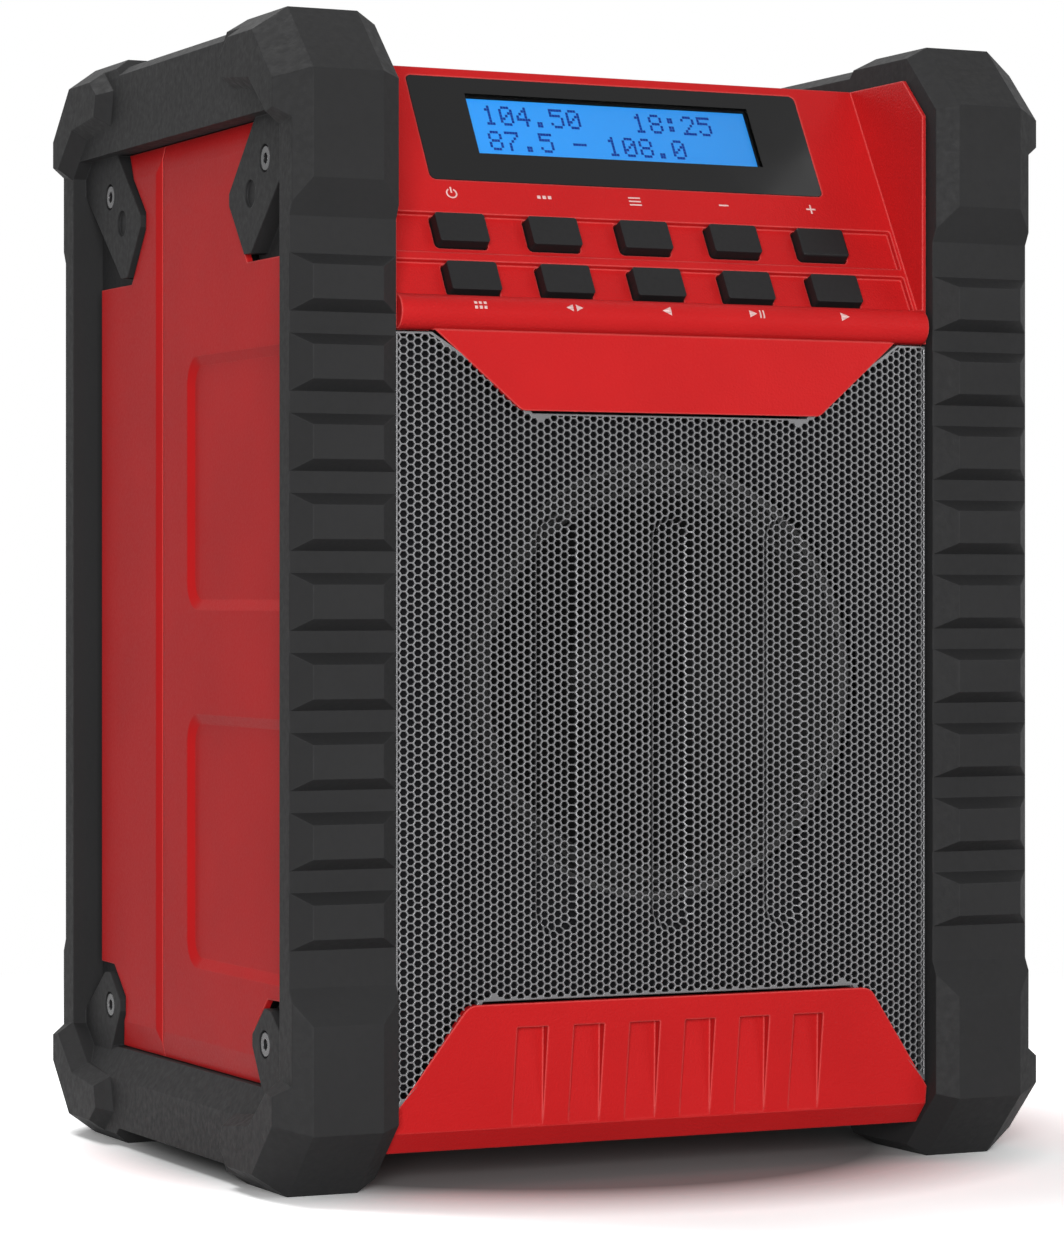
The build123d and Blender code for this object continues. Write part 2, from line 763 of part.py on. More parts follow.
with BuildPart() as back_cover:
    block((-cover_half_width, cover_half_width), (cover_front, side_back),
          (side_bottom + wall, side_top - wall))
    block((-core_half_width, core_half_width), (cover_front, cover_back),
          (body_bottom, body_top))
    top_rear = back_cover.edges().filter_by(Axis.X).group_by(Axis.Y)[-1]
    chamfer(top_rear, 2.0)
    block((-cover_half_width + wall, cover_half_width - wall),
          (cover_front - 1, side_back - wall), (side_bottom + 2 * wall, side_top - 2 * wall),
          mode=Mode.SUBTRACT)
    block((-core_half_width + wall, core_half_width - wall),
          (cover_front - 1, cover_back - wall), (body_bottom + wall, body_top - wall),
          mode=Mode.SUBTRACT)
    # rim of the battery bay, then the door opening with its seal ledge
    block((-bay_half_width - bay_wall, bay_half_width + bay_wall), (cover_front, cover_back),
          (bay_z[0] - bay_wall, bay_z[1] + bay_wall))
    block((-door_opening[0] - wall, door_opening[0] + wall),
          (seal_back - wall, cover_back - 1),
          (door_opening[1] - wall, door_opening[2] + wall))
    block((-bay_half_width, bay_half_width), (cover_front - 1, cover_back + 1), bay_z,
          mode=Mode.SUBTRACT)
    block((-door_opening[0], door_opening[0]), (seal_back, cover_back + 1),
          door_opening[1:], mode=Mode.SUBTRACT)
    # screw columns
    for x, z in cover_screws:
        rod((x, cover_front, z), (0, 1, 0), boss_d / 2 + 0.4, cover_back - cover_front - 1)
        rod((x, cover_back, z), (0, -1, 0), ear_recess_d / 2, cover_screw_recess,
            mode=Mode.SUBTRACT)
        rod((x, cover_back, z), (0, -1, 0), screw_d / 2 + 0.2, 20.0, mode=Mode.SUBTRACT)
    # hinge knuckles of the cover, outside the two door knuckles
    for side in (1, -1):
        start = side * (door_half_width - knuckle_length + knuckle_gap)
        rod((start, hinge_axis_y, hinge_axis_z), (side, 0, 0), knuckle_d / 2,
            knuckle_length)
        block(sorted((start, start + side * knuckle_length)),
              (cover_back - 1, hinge_axis_y), (hinge_axis_z - knuckle_d / 2, hinge_axis_z))
        rod((start - side, hinge_axis_y, hinge_axis_z), (side, 0, 0), hinge_pin_d / 2,
            knuckle_length + 2, mode=Mode.SUBTRACT)
    # recess for the sockets
    block((socket_x - socket_recess[0] / 2, socket_x + socket_recess[0] / 2),
          (cover_back - socket_recess[2] - wall, cover_back - 1),
          (socket_z - socket_recess[1] / 2 - 2, socket_z + socket_recess[1] / 2 + 2))
    block((socket_x - socket_recess[0] / 2 + 2, socket_x + socket_recess[0] / 2 - 2),
          (cover_back - socket_recess[2], cover_back + 1),
          (socket_z - socket_recess[1] / 2, socket_z + socket_recess[1] / 2),
          mode=Mode.SUBTRACT)
    for shift in (-1, 1):
        rod((socket_x + shift * socket_pitch / 2, cover_back, socket_z), (0, -1, 0),
            socket_bore / 2, socket_recess[2] + wall + 1, mode=Mode.SUBTRACT)
    # lugs that hold the flap pin
    for low in (flap_z[0] - seam - flap_lug, flap_z[1] + seam):
        block((flap_axis[0] - flap_barrel_d / 2, flap_axis[0] + flap_barrel_d / 2),
              (cover_back - 1, flap_axis[1]), (low, low + flap_lug))
        rod((*flap_axis, low), (0, 0, 1), flap_barrel_d / 2, flap_lug)
        rod((*flap_axis, low - 1), (0, 0, 1), flap_pin_d / 2, flap_lug + 2,
            mode=Mode.SUBTRACT)
    # main board posts
    for x, z in board_points:
        rod((x, cover_back - wall, z), (0, -1, 0), 3.0,
            cover_back - wall - main_board_y - board_thickness)
        rod((x, cover_back - wall, z), (0, -1, 0), board_screw_d / 2,
            cover_back - wall - main_board_y - board_thickness, mode=Mode.SUBTRACT)
finish(back_cover.part, "back_cover")

# ------------------------------------------------------------------- grille
grille_half_width = core_half_width - grille_gap


def grille_form(inset):
    """Closed form of the pressed grille, drawn in by inset from its faces."""
    side_y = grille_y + grille_side_drop
    with BuildPart() as form:
        with BuildSketch(facing(baffle_y)):
            add(grille_outline(grille_gap + inset, core_half_width))
        extrude(amount=baffle_y - grille_y)
        with BuildSketch(Plane.XY):
            face_from([
                (-overall_depth, side_y + inset), (-overall_depth, front - 1),
                (overall_depth, front - 1), (overall_depth, side_y + inset),
                (grille_half_width, side_y + inset), (grille_crease, grille_y + inset),
                (-grille_crease, grille_y + inset), (-grille_half_width, side_y + inset),
            ])
        extrude(amount=overall_height, mode=Mode.SUBTRACT)
    return form.part


grille_outer = grille_form(0)
grille_inner = grille_form(grille_sheet)
flute_xs = (-flute_pitch, 0.0, flute_pitch)

with BuildPart() as speaker_grille:
    add(grille_outer)
    add(grille_inner, mode=Mode.SUBTRACT)
    for grow, depth, mode in ((grille_sheet, flute_depth + grille_sheet, Mode.ADD),
                              (0.0, flute_depth, Mode.SUBTRACT)):
        with BuildSketch(facing(grille_y)):
            with Locations(*[(x, flute_centre_z) for x in flute_xs]):
                SlotOverall(flute_length + 2 * grow, flute_width + 2 * grow, rotation=90)
        extrude(amount=-depth, mode=mode)
finish(speaker_grille.part, "speaker_grille")

with BuildPart() as speaker_baffle:
    with BuildSketch(facing(baffle_y)):
        add(grille_outline(grille_gap + grille_sheet + seam, core_half_width))
        with Locations((0, speaker_z)):
            Circle(baffle_opening, mode=Mode.SUBTRACT)
    extrude(amount=baffle_panel_thickness)
finish(speaker_baffle.part, "speaker_baffle")

# ------------------------------------------------------------------ display
with BuildPart() as display_lens:
    with BuildSketch(panel):
        with Locations((0, (lens_low + lens_high) / 2)):
            RectangleRounded(2 * lens_half_width, lens_high - lens_low, 1.5)
    extrude(amount=-lens_thickness)
finish(display_lens.part, "display_lens")

lcd_margin = 3.5
lcd_face = -lens_thickness - 0.1
lcd_back = -wall - seam
with BuildPart() as lcd_glass:
    with BuildSketch(panel.offset(lcd_face)):
        with Locations((0, (window_low + window_high) / 2)):
            Rectangle(2 * (window_half_width - lcd_clearance),
                      window_high - window_low - 2 * lcd_clearance)
    extrude(amount=lcd_back - lcd_seat - lcd_face)
finish(lcd_glass.part, "lcd_glass")

with BuildPart() as lcd_module:
    with BuildSketch(panel.offset(lcd_back)):
        with Locations((0, (window_low + window_high) / 2)):
            Rectangle(2 * (window_half_width + lcd_margin),
                      window_high - window_low + 2 * lcd_margin)
    extrude(amount=board_n + seam - lcd_back)
    add(lcd_glass.part, mode=Mode.SUBTRACT)
finish(lcd_module.part, "lcd_module")

# ------------------------------------------------------------------ buttons
button_names = (
    ("button_power", "button_mode", "button_info_menu",
     "button_volume_down", "button_volume_up"),
    ("button_preset", "button_scan", "button_previous", "button_play", "button_next"),
)
for s_row, names in zip(button_rows, button_names):
    for x, name in zip(button_xs, names):
        with BuildPart() as button:
            with BuildSketch(panel.offset(flange_n - flange_thickness)):
                with Locations((x, s_row)):
                    Rectangle(button_width + 2 * flange_margin,
                              button_height + 2 * flange_margin)
            extrude(amount=flange_thickness)
            with BuildSketch(panel.offset(flange_n)):
                with Locations((x, s_row)):
                    RectangleRounded(button_width, button_height, button_corner)
            extrude(amount=-flange_n - channel_depth)
            with BuildSketch(panel.offset(-channel_depth)):
                with Locations((x, s_row)):
                    RectangleRounded(button_width, button_height, button_corner)
            extrude(amount=channel_depth + button_top, taper=button_taper)
        finish(button.part, name)

with BuildPart() as keypad_mat:
    with BuildSketch(panel.offset(mat_n)):
        with Locations((0, (key_low + key_high) / 2)):
            Rectangle(2 * key_half_width, key_high - key_low)
    extrude(amount=-mat_thickness)
finish(keypad_mat.part, "keypad_mat")

with BuildPart() as key_board:
    with BuildSketch(panel.offset(board_n)):
        with Locations((0, (board_boss_s[0] + board_boss_s[1]) / 2)):
            Rectangle(2 * board_half_width, board_boss_s[1] - board_boss_s[0] + 6)
        with Locations(*board_bosses):
            Circle(board_screw_d / 2 + 0.2, mode=Mode.SUBTRACT)
    extrude(amount=-board_thickness)
finish(key_board.part, "key_board")

with BuildPart() as key_board_screws:
    with BuildSketch(panel.offset(board_n - board_thickness)):
        with Locations(*board_bosses):
            Circle(board_screw_d)
    extrude(amount=-1.2)
    with BuildSketch(panel.offset(board_n - board_thickness)):
        with Locations(*board_bosses):
            Circle(board_screw_d / 2)
    extrude(amount=board_thickness + 4.0)
finish(key_board_screws.part, "key_board_screws")

# ------------------------------------------------------------------ speaker
gasket_y = baffle_back
flange_y = gasket_y + gasket_thickness
basket_y = flange_y + speaker_flange_thickness
magnet_y = flange_y + basket_depth
speaker_axis = (0, 0, speaker_z)
speaker_bolts = [(speaker_screw_circle * cos(radians(angle)),
                  speaker_screw_circle * sin(radians(angle)))
                 for angle in (45, 135, 225, 315)]


def turned(points):
    """Turn a closed (radius, depth) outline round the speaker axis."""
    with BuildPart() as body:
        with BuildSketch(Plane.XY):
            face_from(points)
        revolve(axis=Axis.Y)
    return body.part.moved(Location((0, 0, speaker_z)))


with BuildPart() as speaker_gasket:
    add(turned([(speaker_opening + 0.5, gasket_y), (speaker_flange, gasket_y),
                (speaker_flange, flange_y), (speaker_opening + 0.5, flange_y)]))
    for x, z in speaker_bolts:
        rod((x, gasket_y - 1, speaker_z + z), (0, 1, 0), speaker_screw_d / 2 + 0.2, 4.0,
            mode=Mode.SUBTRACT)
finish(speaker_gasket.part, "speaker_gasket")

with BuildPart() as speaker_basket:
    add(turned([
        (speaker_flange, flange_y), (speaker_flange, basket_y), (surround_outer + 2, basket_y),
        (basket_back_radius, magnet_y), (coil_radius + 2, magnet_y),
        (coil_radius + 2, magnet_y - 2), (basket_back_radius - 1.5, magnet_y - 2),
        (surround_outer - 1, basket_y), (surround_outer - 1, flange_y),
    ]))
    for angle in range(0, 360, 60):
        bearing = radians(angle)
        with Locations(Plane((0, 0, speaker_z), x_dir=(cos(bearing), 0, sin(bearing)),
                             z_dir=(0, 1, 0))):
            with Locations((42.0, 0, (basket_y + magnet_y) / 2)):
                Box(30.0, 22.0, basket_depth - 9.0, mode=Mode.SUBTRACT)
    for x, z in speaker_bolts:
        rod((x, flange_y - 1, speaker_z + z), (0, 1, 0), speaker_screw_d / 2 + 0.2, 6.0,
            mode=Mode.SUBTRACT)
finish(speaker_basket.part, "speaker_basket")

surround_y = flange_y
with BuildPart() as speaker_surround:
    add(turned([
        (surround_inner, surround_y - 1.0), (surround_inner + 1.5, surround_y - 1.0),
        (surround_inner + 2.3, surround_y - 3.0), (surround_outer - 3.2, surround_y - 3.0),
        (surround_outer - 2.4, surround_y - 1.0), (surround_outer - 1.0, surround_y),
        (surround_outer - 1.0, surround_y + 1.0), (surround_inner, surround_y + 0.2),
    ]))
finish(speaker_surround.part, "speaker_surround")

cone_y = flange_y + cone_depth
with BuildPart() as speaker_cone:
    add(turned([
        (cone_outer, surround_y - 0.8), (cone_outer, surround_y + 0.4),
        (coil_radius, cone_y + 1.2), (coil_radius, cone_y),
    ]))
finish(speaker_cone.part, "speaker_cone")

with BuildPart() as speaker_dust_cap:
    with BuildSketch(Plane.XY):
        with BuildLine():
            rim = Line((coil_radius, cone_y), (coil_radius, cone_y + 1.0))
            base = Line(rim @ 1, (0, cone_y + 1.0))
            axis_line = Line(base @ 1, (0, cone_y - 6.0))
            ThreePointArc(axis_line @ 1, (coil_radius * 0.55, cone_y - 4.2), rim @ 0)
        make_face()
    revolve(axis=Axis.Y)
finish(speaker_dust_cap.part.moved(Location(speaker_axis)), "speaker_dust_cap")

with BuildPart() as voice_coil:
    add(turned([
        (coil_radius, cone_y + 1.2), (coil_radius, magnet_y + 6.0),
        (coil_radius - 0.8, magnet_y + 6.0), (coil_radius - 0.8, cone_y + 1.2),
    ]))
finish(voice_coil.part, "voice_coil")

with BuildPart() as speaker_magnet:
    add(turned([
        (coil_radius + 1.0, magnet_y), (magnet_radius - 3, magnet_y),
        (magnet_radius - 3, magnet_y + 3), (magnet_radius, magnet_y + 3),
        (magnet_radius, magnet_y + magnet_thickness - 3),
        (magnet_radius - 3, magnet_y + magnet_thickness - 3),
        (magnet_radius - 3, magnet_y + magnet_thickness), (0, magnet_y + magnet_thickness),
        (0, magnet_y + 0.5), (coil_radius - 1.4, magnet_y + 0.5),
        (coil_radius - 1.4, magnet_y + 8.0), (coil_radius + 1.0, magnet_y + 8.0),
    ]))
finish(speaker_magnet.part, "speaker_magnet")

with BuildPart() as speaker_screws:
    for x, z in speaker_bolts:
        rod((x, basket_y, speaker_z + z), (0, 1, 0), screw_head_d / 2, screw_head_h)
        rod((x, basket_y, speaker_z + z), (0, -1, 0), speaker_screw_d / 2,
            speaker_flange_thickness + gasket_thickness + 2.0)
finish(speaker_screws.part, "speaker_screws")

# ------------------------------------------------------- battery and its door
with BuildPart() as battery_pack:
    block((-pack_width / 2, pack_width / 2), (pack_front, pack_rear), pack_z)
    fillet(battery_pack.edges().filter_by(Axis.Y), pack_corner)
    block((-12.0, 12.0), (pack_rear - 4, pack_rear + 1),
          (pack_z[1] - 12, pack_z[1] - 6), mode=Mode.SUBTRACT)
finish(battery_pack.part, "battery_pack")

contact_xs = (-18.0, -6.0, 6.0, 18.0)
with BuildPart() as battery_contacts:
    for x in contact_xs:
        block((x - 2.5, x + 2.5), (bay_front, bay_front + 0.8),
              (pack_bottom + 14, pack_bottom + 34))
        block((x - 2.5, x + 2.5), (bay_front + 0.8, pack_front),
              (pack_bottom + 20, pack_bottom + 28))
finish(battery_contacts.part, "battery_contacts")

door_rib = 1.2
with BuildPart() as battery_door:
    block((-door_half_width, door_half_width), (door_inner, cover_back),
          (door_bottom, door_top))
    fillet(battery_door.edges().filter_by(Axis.Y).sort_by(Axis.Z)[-2:], 2.0)
    # grip lip at the top edge and stiffening ribs on the outside
    block((-16.0, 16.0), (cover_back, cover_back + 2.4), (door_top - 6.0, door_top - 2.0))
    for x in (-32.0, -16.0, 0.0, 16.0, 32.0):
        block((x - 1.5, x + 1.5), (cover_back, cover_back + door_rib),
              (door_bottom + 12, door_top - 14))
    # two hinge knuckles inside those of the cover
    for side in (1, -1):
        start = side * (door_half_width - 2 * knuckle_length)
        knuckle = sorted((start, start + side * knuckle_length))
        rod((start, hinge_axis_y, hinge_axis_z), (side, 0, 0), knuckle_d / 2,
            knuckle_length)
        block(knuckle, (hinge_axis_y - 1.2, hinge_axis_y + 1.2),
              (hinge_axis_z, door_bottom + 5))
        block(knuckle, (cover_back - 1, hinge_axis_y), (door_bottom + 0.5, door_bottom + 5))
        rod((start - side, hinge_axis_y, hinge_axis_z), (side, 0, 0),
            hinge_pin_d / 2 + pin_clearance, knuckle_length + 2, mode=Mode.SUBTRACT)
finish(battery_door.part, "battery_door")

with BuildPart() as door_hinge_pins:
    for side in (1, -1):
        rod((side * (door_half_width - 2 * knuckle_length), hinge_axis_y, hinge_axis_z),
            (side, 0, 0), hinge_pin_d / 2, 2 * knuckle_length + knuckle_gap)
finish(door_hinge_pins.part, "door_hinge_pins")

with BuildPart() as door_seal:
    for inset, mode in ((0.0, Mode.ADD), (door_seal_width, Mode.SUBTRACT)):
        block((-door_half_width + inset, door_half_width - inset),
              (seal_back, seal_back + door_seal_thickness),
              (door_bottom + inset, door_top - inset), mode=mode)
finish(door_seal.part, "door_seal")

# --------------------------------------------------------- main board, sockets
with BuildPart() as main_board:
    block((-main_board_half_width, main_board_half_width),
          (main_board_y, main_board_y + board_thickness), main_board_z)
    for x, z in board_points:
        rod((x, main_board_y - 1, z), (0, 1, 0), board_screw_d / 2 + 0.2, 4.0,
            mode=Mode.SUBTRACT)
finish(main_board.part, "main_board")

with BuildPart() as main_board_screws:
    for x, z in board_points:
        rod((x, main_board_y, z), (0, -1, 0), board_screw_d, 1.2)
        rod((x, main_board_y, z), (0, 1, 0), board_screw_d / 2, board_thickness + 5.0)
finish(main_board_screws.part, "main_board_screws")

module_low = main_board_z[1] - 56.0
with BuildPart() as tuner_shield:
    block((-46.0, -10.0), (main_board_y - 6.0, main_board_y), (module_low, module_low + 36.0))
finish(tuner_shield.part, "tuner_shield")

heat_sink_fins = 6
with BuildPart() as amplifier_heat_sink:
    block((8.0, 44.0), (main_board_y - 3.0, main_board_y), (module_low, module_low + 32.0))
    for index in range(heat_sink_fins):
        x = 8.0 + index * (36.0 - 1.6) / (heat_sink_fins - 1)
        block((x, x + 1.6), (main_board_y - 14.0, main_board_y - 3.0),
              (module_low, module_low + 32.0))
finish(amplifier_heat_sink.part, "amplifier_heat_sink")

socket_front = cover_back - socket_recess[2] - wall
for name, shift, bore, body_length in (("audio_socket", -1, 3.5, 12.0),
                                       ("power_socket", 1, 5.5, 10.0)):
    with BuildPart() as socket:
        centre_x = socket_x + shift * socket_pitch / 2
        rod((centre_x, socket_front - 1, socket_z), (0, 1, 0), socket_bore / 2 - seam,
            wall + 1.6)
        block((centre_x - 4.6, centre_x + 4.6), (socket_front - body_length, socket_front),
              (socket_z - 4.6, socket_z + 4.6))
        rod((centre_x, cover_back, socket_z), (0, -1, 0), bore / 2,
            socket_recess[2] + body_length, mode=Mode.SUBTRACT)
        if name == "power_socket":
            rod((centre_x, socket_front - body_length, socket_z), (0, 1, 0), 0.9,
                body_length + 1.0)
    finish(socket.part, name)

flap_back = cover_back + seam
with BuildPart() as socket_flap:
    block((flap_x[0] + 0.4, flap_x[1]), (flap_back, flap_back + flap_thickness), flap_z)
    fillet(socket_flap.edges().filter_by(Axis.Y).sort_by(Axis.X)[-2:], 3.0)
    rod((*flap_axis, flap_z[0]), (0, 0, 1), flap_barrel_d / 2, flap_z[1] - flap_z[0])
    block((flap_axis[0], flap_x[0] + 1), (flap_axis[1] - 0.7, flap_axis[1] + 0.7), flap_z)
    # finger lip on the free edge
    block((flap_x[1] - 5, flap_x[1] - 1.5),
          (flap_back + flap_thickness, flap_back + flap_thickness + 1.2),
          (socket_z - 6, socket_z + 6))
    rod((*flap_axis, flap_z[0] - 1), (0, 0, 1), flap_pin_d / 2 + pin_clearance,
        flap_z[1] - flap_z[0] + 2, mode=Mode.SUBTRACT)
finish(socket_flap.part, "socket_flap")

with BuildPart() as flap_pin:
    rod((*flap_axis, flap_z[0] - seam - flap_lug), (0, 0, 1), flap_pin_d / 2,
        flap_z[1] - flap_z[0] + 2 * (seam + flap_lug))
finish(flap_pin.part, "flap_pin")

# ------------------------------------------------------------------ antenna
with BuildPart() as antenna_bracket:
    block((antenna_x - bracket_width / 2, antenna_x + bracket_width / 2),
          (cover_back, antenna_y + turret_radius), bracket_z)
    fillet(antenna_bracket.edges().filter_by(Axis.Z).group_by(Axis.Y)[-1], 2.0)
    rod((antenna_x, antenna_y, bracket_z[0] + spigot_floor), (0, 0, 1),
        spigot_radius + rod_clearance, 10.0, mode=Mode.SUBTRACT)
finish(antenna_bracket.part, "antenna_bracket")

turret_low = bracket_z[1] + rod_clearance
with BuildPart() as antenna_turret:
    rod((antenna_x, antenna_y, turret_low), (0, 0, 1), turret_radius, elbow_z - turret_low)
    with BuildSketch(outward(antenna_x)):
        with Locations((antenna_y, elbow_z)):
            Circle(turret_radius)
    extrude(amount=turret_radius, both=True)
    with BuildSketch(Plane.XY.offset(turret_low)):
        with Locations((antenna_x, antenna_y)):
            Circle(turret_radius)
    extrude(amount=2 * (elbow_z - turret_low), mode=Mode.INTERSECT)
    # fork slot, pin hole and the spigot in the bracket
    block((antenna_x - tongue_width / 2 - rod_clearance,
           antenna_x + tongue_width / 2 + rod_clearance),
          (antenna_y - turret_radius - 1, antenna_y + turret_radius + 1),
          (turret_top, elbow_z + turret_radius + 1), mode=Mode.SUBTRACT)
    rod((antenna_x - turret_radius - 1, antenna_y, elbow_z), (1, 0, 0), antenna_pin_d / 2,
        2 * turret_radius + 2, mode=Mode.SUBTRACT)
    rod((antenna_x, antenna_y, bracket_z[0] + spigot_floor + rod_clearance), (0, 0, 1),
        spigot_radius, bracket_z[1] - bracket_z[0])
finish(antenna_turret.part, "antenna_turret")

with BuildPart() as antenna_pin:
    rod((antenna_x - turret_radius + 0.4, antenna_y, elbow_z), (1, 0, 0),
        antenna_pin_d / 2, 2 * turret_radius - 0.8)
finish(antenna_pin.part, "antenna_pin")

with BuildPart() as antenna_lower:
    rod((antenna_x - tongue_width / 2, antenna_y, elbow_z), (1, 0, 0), tongue_radius,
        tongue_width)
    block((antenna_x - tongue_width / 2, antenna_x + tongue_width / 2),
          (antenna_y - 2.0, antenna_y + 2.0), (elbow_z, rod_bottom))
    rod((antenna_x, antenna_y, rod_bottom), (0, 0, 1), rod_radii[0], rod_top - rod_bottom)
    rod((antenna_x, antenna_y, rod_bottom + 3), (0, 0, 1), rod_radii[0] - rod_wall,
        rod_top - rod_bottom, mode=Mode.SUBTRACT)
    rod((antenna_x - tongue_width, antenna_y, elbow_z), (1, 0, 0),
        antenna_pin_d / 2 + pin_clearance, 2 * tongue_width, mode=Mode.SUBTRACT)
finish(antenna_lower.part, "antenna_lower")

with BuildPart() as antenna_middle:
    rod((antenna_x, antenna_y, rod_bottom + 3.5), (0, 0, 1), rod_radii[1],
        rod_top + rod_step - rod_bottom - 3.5)
    rod((antenna_x, antenna_y, rod_bottom + 4.5), (0, 0, 1), rod_radii[1] - rod_wall + 0.1,
        rod_top - rod_bottom, mode=Mode.SUBTRACT)
finish(antenna_middle.part, "antenna_middle")

with BuildPart() as antenna_upper:
    rod((antenna_x, antenna_y, rod_bottom + 5.0), (0, 0, 1), rod_radii[2],
        rod_top + rod_step + 0.5 - rod_bottom - 5.0)
    rod((antenna_x, antenna_y, rod_top + rod_step + 0.3), (0, 0, 1), rod_radii[0],
        antenna_tip)
    tip_edge = antenna_upper.edges().filter_by(GeomType.CIRCLE).sort_by(Axis.Z)[-1]
    fillet(tip_edge, 1.2)
finish(antenna_upper.part, "antenna_upper")

# ------------------------------------------------------------------- screws
with BuildPart() as frame_screws:
    seat = ear_face - ear_recess_depth
    for y, z in ear_screws:
        for side in (1, -1):
            rod((side * seat, y, z), (side, 0, 0), screw_head_d / 2, screw_head_h)
            rod((side * seat, y, z), (-side, 0, 0), screw_d / 2, screw_length)
            rod((side * (seat + screw_head_h), y, z), (-side, 0, 0), 1.3, 1.2,
                mode=Mode.SUBTRACT)
finish(frame_screws.part, "frame_screws")

with BuildPart() as shell_screws:
    for z in shell_screw_zs:
        for side in (1, -1):
            seat = (side * shell_screw_x, split_rear + shell_tab_thickness, z)
            rod(seat, (0, 1, 0), screw_head_d / 2, screw_head_h)
            rod(seat, (0, -1, 0), screw_d / 2, screw_length)
finish(shell_screws.part, "shell_screws")

with BuildPart() as cover_screw_set:
    for x, z in cover_screws:
        seat = (x, cover_back - cover_screw_recess, z)
        rod(seat, (0, 1, 0), screw_head_d / 2, screw_head_h)
        rod(seat, (0, -1, 0), screw_d / 2, screw_length + 6)
        rod((x, cover_back, z), (0, -1, 0), 1.3, 1.6, mode=Mode.SUBTRACT)
finish(cover_screw_set.part, "cover_screws")
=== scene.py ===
"""Looks of the jobsite radio: materials, grille holes, display and key symbols."""

import json
import math

import bmesh
import bpy
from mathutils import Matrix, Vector, geometry


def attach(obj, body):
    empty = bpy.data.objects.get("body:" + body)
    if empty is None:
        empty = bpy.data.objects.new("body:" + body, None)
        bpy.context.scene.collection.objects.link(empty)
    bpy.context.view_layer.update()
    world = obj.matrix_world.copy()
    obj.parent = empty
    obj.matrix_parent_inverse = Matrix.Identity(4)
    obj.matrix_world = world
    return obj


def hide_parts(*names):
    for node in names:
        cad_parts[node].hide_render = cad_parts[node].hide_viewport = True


MM = 0.001
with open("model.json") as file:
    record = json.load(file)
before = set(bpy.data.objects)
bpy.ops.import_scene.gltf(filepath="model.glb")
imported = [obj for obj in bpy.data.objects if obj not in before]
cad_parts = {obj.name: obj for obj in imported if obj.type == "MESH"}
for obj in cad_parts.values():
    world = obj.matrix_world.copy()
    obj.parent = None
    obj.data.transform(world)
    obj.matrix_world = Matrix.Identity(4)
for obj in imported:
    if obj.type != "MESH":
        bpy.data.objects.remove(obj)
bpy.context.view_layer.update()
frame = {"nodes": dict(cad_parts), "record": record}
nodes = frame["nodes"]
scene = bpy.context.scene

# ------------------------------------------------- sizes shared with the source, in mm
LEAN = math.radians(30.0)
PANEL_FOOT_Y = -72.7
PANEL_FOOT_Z = 203.3
ROLL_S = -1.25
ROLL_N = -0.84
ROLL_RADIUS = 4.2
LCD_DEPTH = -1.3
LCD_HALF_WIDTH = 37.45
LCD_S = (44.65, 60.85)
KEY_XS = (-48.0, -24.0, 0.0, 24.0, 48.0)
GRILLE_Y = -75.9
BAFFLE_Y = -71.4
BODY_TOP = 262.6
SHEET = 0.8
FLUTE_XS = (-30.0, 0.0, 30.0)
FLUTE_HALF_WIDTH = 5.0
FLUTE_HALF_LENGTH = 48.0
FLUTE_CENTRE_Z = 107.0
FLUTE_DEPTH = 1.5
CREASE_X = 57.0
EDGE_X = 69.8
SIDE_DROP = 1.7
# (x, z) corners of the nameplate and of the skirt, which the grille field goes round
FIELD_SEAM = 0.6
PLATE_TOP = (60.6, 197.8)
PLATE_BOTTOM = (39.2, 179.6)
PLATE_HEIGHT = 18.2
PLATE_CORNER = 3.0
SKIRT_TOP = (52.8, 43.0)
SKIRT_LOW_Z = 18.2
SKIRT_CORNER = 4.0

# ---------------------------------- punched pattern and soft flutes, only in this scene
RIM = 0.3
CELL_PITCH_Z = 1.87
CELL_PITCH_X = 1.70
CELL_COLUMNS = 42
CELL_ROWS = 48
HOLE_SHARE = 0.82
HOLE_MARGIN = 0.1
LEAST_HOLE_AREA = 0.35
FLUTE_SPILL = 0.6
FLUTE_SLOPE = 1.6


def on_panel(x, s, n=0.0):
    """Point of the key panel: x across, s up the slope and n out of it, in metres."""
    y = PANEL_FOOT_Y + s * math.sin(LEAN) - n * math.cos(LEAN)
    z = PANEL_FOOT_Z + s * math.cos(LEAN) + n * math.sin(LEAN)
    return Vector((x, y, z)) * MM


